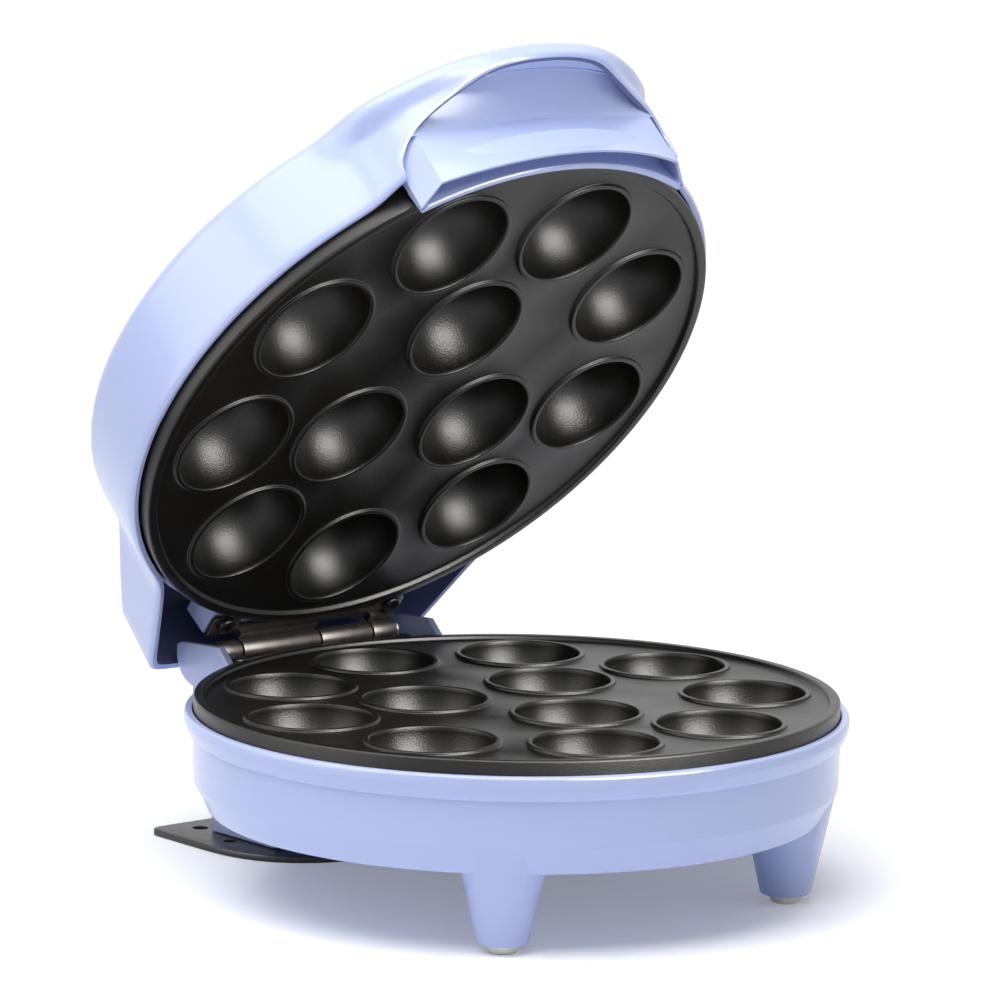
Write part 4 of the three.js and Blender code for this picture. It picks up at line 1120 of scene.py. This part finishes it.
def finger_scoop():
    """The roof over the fingers, from the grip's top edge to a ledge in the nose, and as wide as that."""
    under = curve_through(SCOOP_POINTS, ALONG_STEPS) + [Vector(point) for point in LEDGE_POINTS]
    limits = [nose_inside(*point) for point in under]
    sections = []
    for step in range(SCOOP_STEPS + 1):
        share = -1 + 2 * step / SCOOP_STEPS
        section = []
        for (reach, z, bow), limit in zip(under, limits):
            x = share * limit
            aside = max(abs(x) - SCOOP_CURL_START, 0) / (SCOOP_CURL_END - SCOOP_CURL_START)
            curl = SCOOP_CURL * aside ** 2 * min((reach - SCOOP_POINTS[0][0]) / SCOOP_CURL_REACH, 1)
            section.append(Vector((x, -bowed(x, reach, bow), z + curl)))
        upper = [point + Vector((0, SCOOP_LEAN, SCOOP_THICKNESS)) for point in section[::-1]]
        sections.append(section + upper)
    return lofted(sections)


def nose_inside(reach, z, bow):
    """Half the width inside the shell along a scoop line."""
    low, high = 0.0, ARCH_HALF - SCOOP_MARGIN
    for _ in range(HALVINGS):
        x = (low + high) / 2
        ahead = bowed(x, reach, bow)
        skin = plan_radius(math.atan2(x, ahead), z) - LID_WALL + SCOOP_TUCK
        low, high = (x, high) if math.hypot(x, ahead) < skin else (low, x)
    return low


def add_handle():
    whole = gathered([grip_band(), finger_scoop()])
    piece("grip_insert", whole, SHELL, "lid", "front_handle")


# Hinge

BARREL = 3.5
BORE = 1.9
LEAF_HALF = 38.0
LEAF_THICKNESS = 1.6
LEAF_TAB = 11.0
LEAF_TAB_FRONT = 95.8
LEAF_FRONT = 100.4
LEAF_BACK = 103.4
WEB_FRONT = 102.2
LOWER_KNUCKLES = [(-35.5, -26.5), (5.2, 25.5)]
UPPER_KNUCKLES = [(-25.9, 4.6), (26.1, 35.5)]
SCREW_X = 33.0
SCREW_Y = 98.5
PIN_RADIUS = 1.6
PIN_HEAD = 2.6
PIN_HEAD_LENGTH = 1.2
# Each screw's head radius, head height, shank radius and length.
LEAF_SCREW = (3.0, 1.7, 1.5, 9.0)
HOUSING_SCREW = (3.4, 1.8, 1.6, 16.3)
FOOT_SCREW = (3.6, 1.4, 1.5, 11.0)
# The recess's reach as a share of the head's radius, and its floor as a share of the head's height.
RECESS_REACH = 0.52
RECESS_FLOOR = 0.45
RECESS_HALF = 0.35
SCREW_SEGMENTS = 40


def along_x(profile, axis_z):
    """A ring or rod, revolved from its profile and laid along the hinge line."""
    place = Matrix.Translation((0, HINGE_Y, axis_z)) @ Matrix.Rotation(math.pi / 2, 4, "Y")
    return transformed(revolved(profile, SMALL_SEGMENTS), place)


def leaf_outline():
    inner = LEAF_HALF - LEAF_TAB
    return rounded([
        (-LEAF_HALF, LEAF_TAB_FRONT, 1.8),
        (-inner, LEAF_TAB_FRONT, 1.2),
        (-inner, LEAF_FRONT, 0.6),
        (inner, LEAF_FRONT, 0.6),
        (inner, LEAF_TAB_FRONT, 1.2),
        (LEAF_HALF, LEAF_TAB_FRONT, 1.8),
        (LEAF_HALF, LEAF_BACK, 0.4),
        (-LEAF_HALF, LEAF_BACK, 0.4),
    ], 5)


def knuckle(low, high, axis_z):
    corners = [(BORE, low, 0.15), (BARREL, low, 0.35), (BARREL, high, 0.35), (BORE, high, 0.15)]
    return along_x(rounded(corners, 2), axis_z)


def hinge_leaf(spans, axis_z, bottom, below):
    parts = [extruded(leaf_outline(), bottom, bottom + LEAF_THICKNESS, 0.25)]
    low = bottom if below else axis_z + BORE + GAP
    high = axis_z - BORE - GAP if below else bottom + LEAF_THICKNESS
    for x0, x1 in spans:
        outline = [(WEB_FRONT, low), (HINGE_Y - BORE, low), (HINGE_Y - BORE, high), (WEB_FRONT, high)]
        parts.append(turned_up(extruded(outline, x0 + SIDE_SLACK, x1 - SIDE_SLACK, 0.1, 1)))
        parts.append(knuckle(x0, x1, axis_z))
    return gathered(parts)


def cross_screw(head, height, shank, length):
    """A pan-head screw with a cross recess; its head's underside is at zero and its shank points up."""
    profile = rounded([
        (0, -height, 0),
        (head, -height, height * 0.7),
        (head, 0, 0.15),
        (shank, 0, 0),
        (shank, length - 1, 0.3),
        (0, length, 0),
    ], 5)
    reach = head * RECESS_REACH
    corners = [(-reach, -RECESS_HALF), (reach, -RECESS_HALF), (reach, RECESS_HALF), (-reach, RECESS_HALF)]
    arms = []
    for angle in (0, math.pi / 2):
        arm = extruded(corners, -height - 1, -height * RECESS_FLOOR)
        arms.append(transformed(arm, Matrix.Rotation(angle, 4, "Z")))
    return combined(revolved(profile, SCREW_SEGMENTS), arms, "DIFFERENCE")


def add_hinge():
    lower_level = -RIM_DROP + GAP
    upper_level = LID_RIM - GAP - LEAF_THICKNESS
    lower = hinge_leaf(LOWER_KNUCKLES, -HINGE_DROP, lower_level, True)
    upper = hinge_leaf(UPPER_KNUCKLES, -HINGE_DROP - SHUT_GAP, upper_level, False)
    piece("lower_leaf_steel", lower, HINGE_STEEL, "base", "lower_hinge_leaf")
    piece("upper_leaf_steel", upper, HINGE_STEEL, "lid", "upper_hinge_leaf")
    start = LOWER_KNUCKLES[0][0] - GAP
    end = UPPER_KNUCKLES[1][1] + GAP
    pin = rounded([
        (0, start - PIN_HEAD_LENGTH, 0),
        (PIN_HEAD, start - PIN_HEAD_LENGTH, 0.5),
        (PIN_HEAD, start, 0.1),
        (PIN_RADIUS, start, 0),
        (PIN_RADIUS, end, 0),
        (PIN_HEAD, end, 0.1),
        (PIN_HEAD, end + PIN_HEAD_LENGTH, 0.5),
        (0, end + PIN_HEAD_LENGTH, 0),
    ], 3)
    piece("hinge_rod", along_x(pin, -HINGE_DROP), STEEL, "base", "hinge_pin")
    seats = (
        ("lower", "base", Matrix.Rotation(math.pi, 4, "X"), lower_level + LEAF_THICKNESS + GAP),
        ("upper", "lid", Matrix(), upper_level - GAP),
    )
    for label, side in SIDES:
        for half, body, turn, level in seats:
            screw = transformed(cross_screw(*LEAF_SCREW), turn)
            moved(screw, side * SCREW_X, SCREW_Y, level)
            piece(f"{half}_leaf_screw_{label}", screw, FASTENER, body, f"{half}_hinge_screw_{label}")


# Small pieces

LENS_STEM = 3.2
LENS_DEPTH = 5.3
LENS_RIM = 4.2
LENS_SHOULDER = (3.9, 1.0)
LENS_CROWN = 1.7
CERAMIC_NODES = ("terminal_block", "power_lamp", "ready_lamp")


def add_fixings():
    seat = -FLOOR_DROP + HOUSING_SCREW[1]
    for index, (x, y) in enumerate(BOSSES, 1):
        screw = moved(cross_screw(*HOUSING_SCREW), x, y, seat)
        piece(f"housing_screw_{index}", screw, STEEL, "base", f"base_screw_{index}")
    seat = -PLATE_LEVEL + FOOT_SCREW[1]
    for label, side in SIDES:
        screw = moved(cross_screw(*FOOT_SCREW), side * FOOT_SCREW_X, FOOT_SCREW_Y, seat)
        piece(f"foot_screw_{label}", screw, STEEL, "base", f"foot_plate_screw_{label}")


def add_lenses():
    top = cap_height(math.hypot(LAMP_X, LAMP_Y)) + GAP
    shoulder, shoulder_rise = LENS_SHOULDER
    for label, side, material in (("power", -1, RED_LENS), ("ready", 1, GREEN_LENS)):
        profile = rounded([
            (0, top - LENS_DEPTH, 0),
            (LENS_STEM, top - LENS_DEPTH, 0.2),
            (LENS_STEM, top + GAP, 0),
            (LENS_RIM, top + GAP, 0.2),
            (shoulder, top + shoulder_rise, 0.5),
            (0, top + LENS_CROWN, 0),
        ], 4)
        lens = moved(revolved(profile, SMALL_SEGMENTS), side * LAMP_X, LAMP_Y)
        piece(f"{label}_lens_cap", lens, material, "lid", f"{label}_lamp_lens")


def dress_inner_nodes():
    """The pieces inside the housings keep their solids and get a material."""
    for name, obj in frame["nodes"].items():
        if not obj.hide_render:
            obj.data.materials.clear()
            obj.data.materials.append(CERAMIC if name in CERAMIC_NODES else STEEL)


# Stage, light and camera

CAMERA_PLACE = (-1318.70, -1607.13, 417.91)
CAMERA_AZIMUTH = -39.205
CAMERA_ELEVATION = 9.760
CAMERA_ROLL = 0.735
CAMERA_LENS = 249.05
CAMERA_SENSOR = 36.0
CAMERA_CLIP = (0.05, 50.0)
FLOOR_HALF = 6.0
FLOOR_GLOW = 0.19
WORLD_LEVEL = 0.12
WORLD_COLOUR = (0.93, 0.96, 1.0, 1)
WHITE = (1, 1, 1, 1)
LAMP_COLOUR = (1.0, 0.985, 0.95)
OVERHEAD_DISTANCE = 2.0
# Azimuth from the front, elevation, spread in degrees and strength.
OVERHEAD = (-105.0, 73.0, 60.0, 2.7)
# Name, azimuth, elevation, distance, width, height, power, and whether it lights dull surfaces too.
SOFTBOXES = [
    ("key", 6.0, 24.0, 0.95, 0.74, 0.74, 33.0, False),
    ("front_top", -16.0, 50.0, 1.2, 1.3, 0.8, 10.0, False),
    ("top", -14.0, 63.0, 0.52, 0.5, 0.4, 1.4, True),
    ("left", -100.0, 46.0, 0.6, 0.6, 0.6, 0.74, True),
    ("side", -108.0, 14.0, 0.9, 0.8, 0.8, 5.5, False),
]


def direction(azimuth, elevation):
    """The unit vector from the object towards a place about it, both angles in degrees."""
    turn, rise = math.radians(azimuth), math.radians(elevation)
    return Vector((math.sin(turn) * math.cos(rise), -math.cos(turn) * math.cos(rise), math.sin(rise)))


def add_camera():
    roll = math.radians(CAMERA_ROLL)
    back = direction(CAMERA_AZIMUTH, CAMERA_ELEVATION)
    right = -direction(CAMERA_AZIMUTH - 90, 0)
    up = back.cross(right)
    tilted_right = right * math.cos(roll) + up * math.sin(roll)
    tilted_up = up * math.cos(roll) - right * math.sin(roll)
    data = bpy.data.cameras.new("camera")
    data.lens = CAMERA_LENS
    data.sensor_width = CAMERA_SENSOR
    data.clip_start, data.clip_end = CAMERA_CLIP
    camera = linked("camera", data)
    turn = Matrix((tilted_right, tilted_up, back)).transposed().to_4x4()
    camera.matrix_world = Matrix.Translation(base_frame @ Vector(CAMERA_PLACE)) @ turn
    bpy.context.scene.camera = camera


def any_ray(tree, kinds):
    """A socket that is one for rays of any of the kinds, and zero for the others."""
    seen = new_node(tree, "LightPath")
    total = seen.outputs[kinds[0]]
    for kind in kinds[1:]:
        either = new_node(tree, "Math")
        either.operation = "MAXIMUM"
        tree.links.new(total, either.inputs[0])
        tree.links.new(seen.outputs[kind], either.inputs[1])
        total = either.outputs["Value"]
    return total


def mixed(tree, share, first, second):
    """Two shaders mixed by a share from the first to the second."""
    choice = new_node(tree, "MixShader")
    tree.links.new(share, choice.inputs["Fac"])
    tree.links.new(first, choice.inputs[1])
    tree.links.new(second, choice.inputs[2])
    return choice.outputs["Shader"]


def add_floor():
    """White paper that glows a little for the camera and in gloss, but lights nothing."""
    bm = bmesh.new()
    signs = ((-1, -1), (1, -1), (1, 1), (-1, 1))
    bm.faces.new([bm.verts.new((x * FLOOR_HALF, y * FLOOR_HALF, 0)) for x, y in signs])
    floor = as_object(bm, "floor")
    made = Nodes("floor_paper")
    made.colours(made.noise(0.8, 2.0), srgb(238, 239, 243), srgb(239, 240, 244))
    made.roughness(made.noise(3.0), 0.75, 0.85)
    set_inputs(made.shader, {"Specular_IOR_Level": 0.1})
    glow = new_node(made.tree, "Emission", Color=WHITE, Strength=FLOOR_GLOW)
    total = new_node(made.tree, "AddShader")
    paper = made.shader.outputs["BSDF"]
    made.link(paper, total.inputs[0])
    made.link(glow.outputs["Emission"], total.inputs[1])
    share = any_ray(made.tree, ("Is Camera Ray", "Is Glossy Ray"))
    surface = mixed(made.tree, share, paper, total.outputs["Shader"])
    made.link(surface, made.tree.nodes["Material Output"].inputs["Surface"])
    floor.data.materials.append(made.material)


def add_world():
    """A white surround for the camera and in gloss, and a dim one that gives light."""
    world = bpy.data.worlds.new("studio")
    bpy.context.scene.world = world
    world.use_nodes = True
    tree = world.node_tree
    light = tree.nodes["Background"]
    set_inputs(light, {"Color": WORLD_COLOUR, "Strength": WORLD_LEVEL})
    white = new_node(tree, "Background", Color=WHITE, Strength=1.0)
    share = any_ray(tree, ("Is Camera Ray", "Is Glossy Ray", "Is Transmission Ray"))
    surface = mixed(tree, share, light.outputs["Background"], white.outputs["Background"])
    tree.links.new(surface, tree.nodes["World Output"].inputs["Surface"])


def aimed(name, data, azimuth, elevation, distance):
    """Puts a lamp at an azimuth and elevation about the object, pointing at it."""
    low, high = cad_box
    back = direction(azimuth, elevation)
    place = Matrix.Translation((Vector(low) + Vector(high)) / 2 + back * distance)
    light = linked(name, data)
    light.matrix_world = place @ back.to_track_quat("Z", "Y").to_matrix().to_4x4()
    return light


def add_lights():
    """One broad overhead light, even over the floor, and softboxes, some of which only show in gloss."""
    azimuth, elevation, spread, strength = OVERHEAD
    overhead = bpy.data.lights.new("overhead", "SUN")
    overhead.angle = math.radians(spread)
    overhead.energy = strength
    aimed("overhead", overhead, azimuth, elevation, OVERHEAD_DISTANCE)
    for name, azimuth, elevation, distance, width, height, power, on_all in SOFTBOXES:
        data = bpy.data.lights.new(name, "AREA")
        data.shape = "RECTANGLE"
        data.size, data.size_y = width, height
        data.energy = power
        data.color = LAMP_COLOUR
        aimed(name, data, azimuth, elevation, distance).visible_diffuse = on_all


add_camera()
add_plates()
add_housing()
add_feet()
add_foot_plate()
add_gland()
add_lid_shell()
add_handle()
add_hinge()
add_fixings()
add_lenses()
dress_inner_nodes()
add_floor()
add_world()
add_lights()
bpy.context.scene.view_settings.view_transform = "Standard"
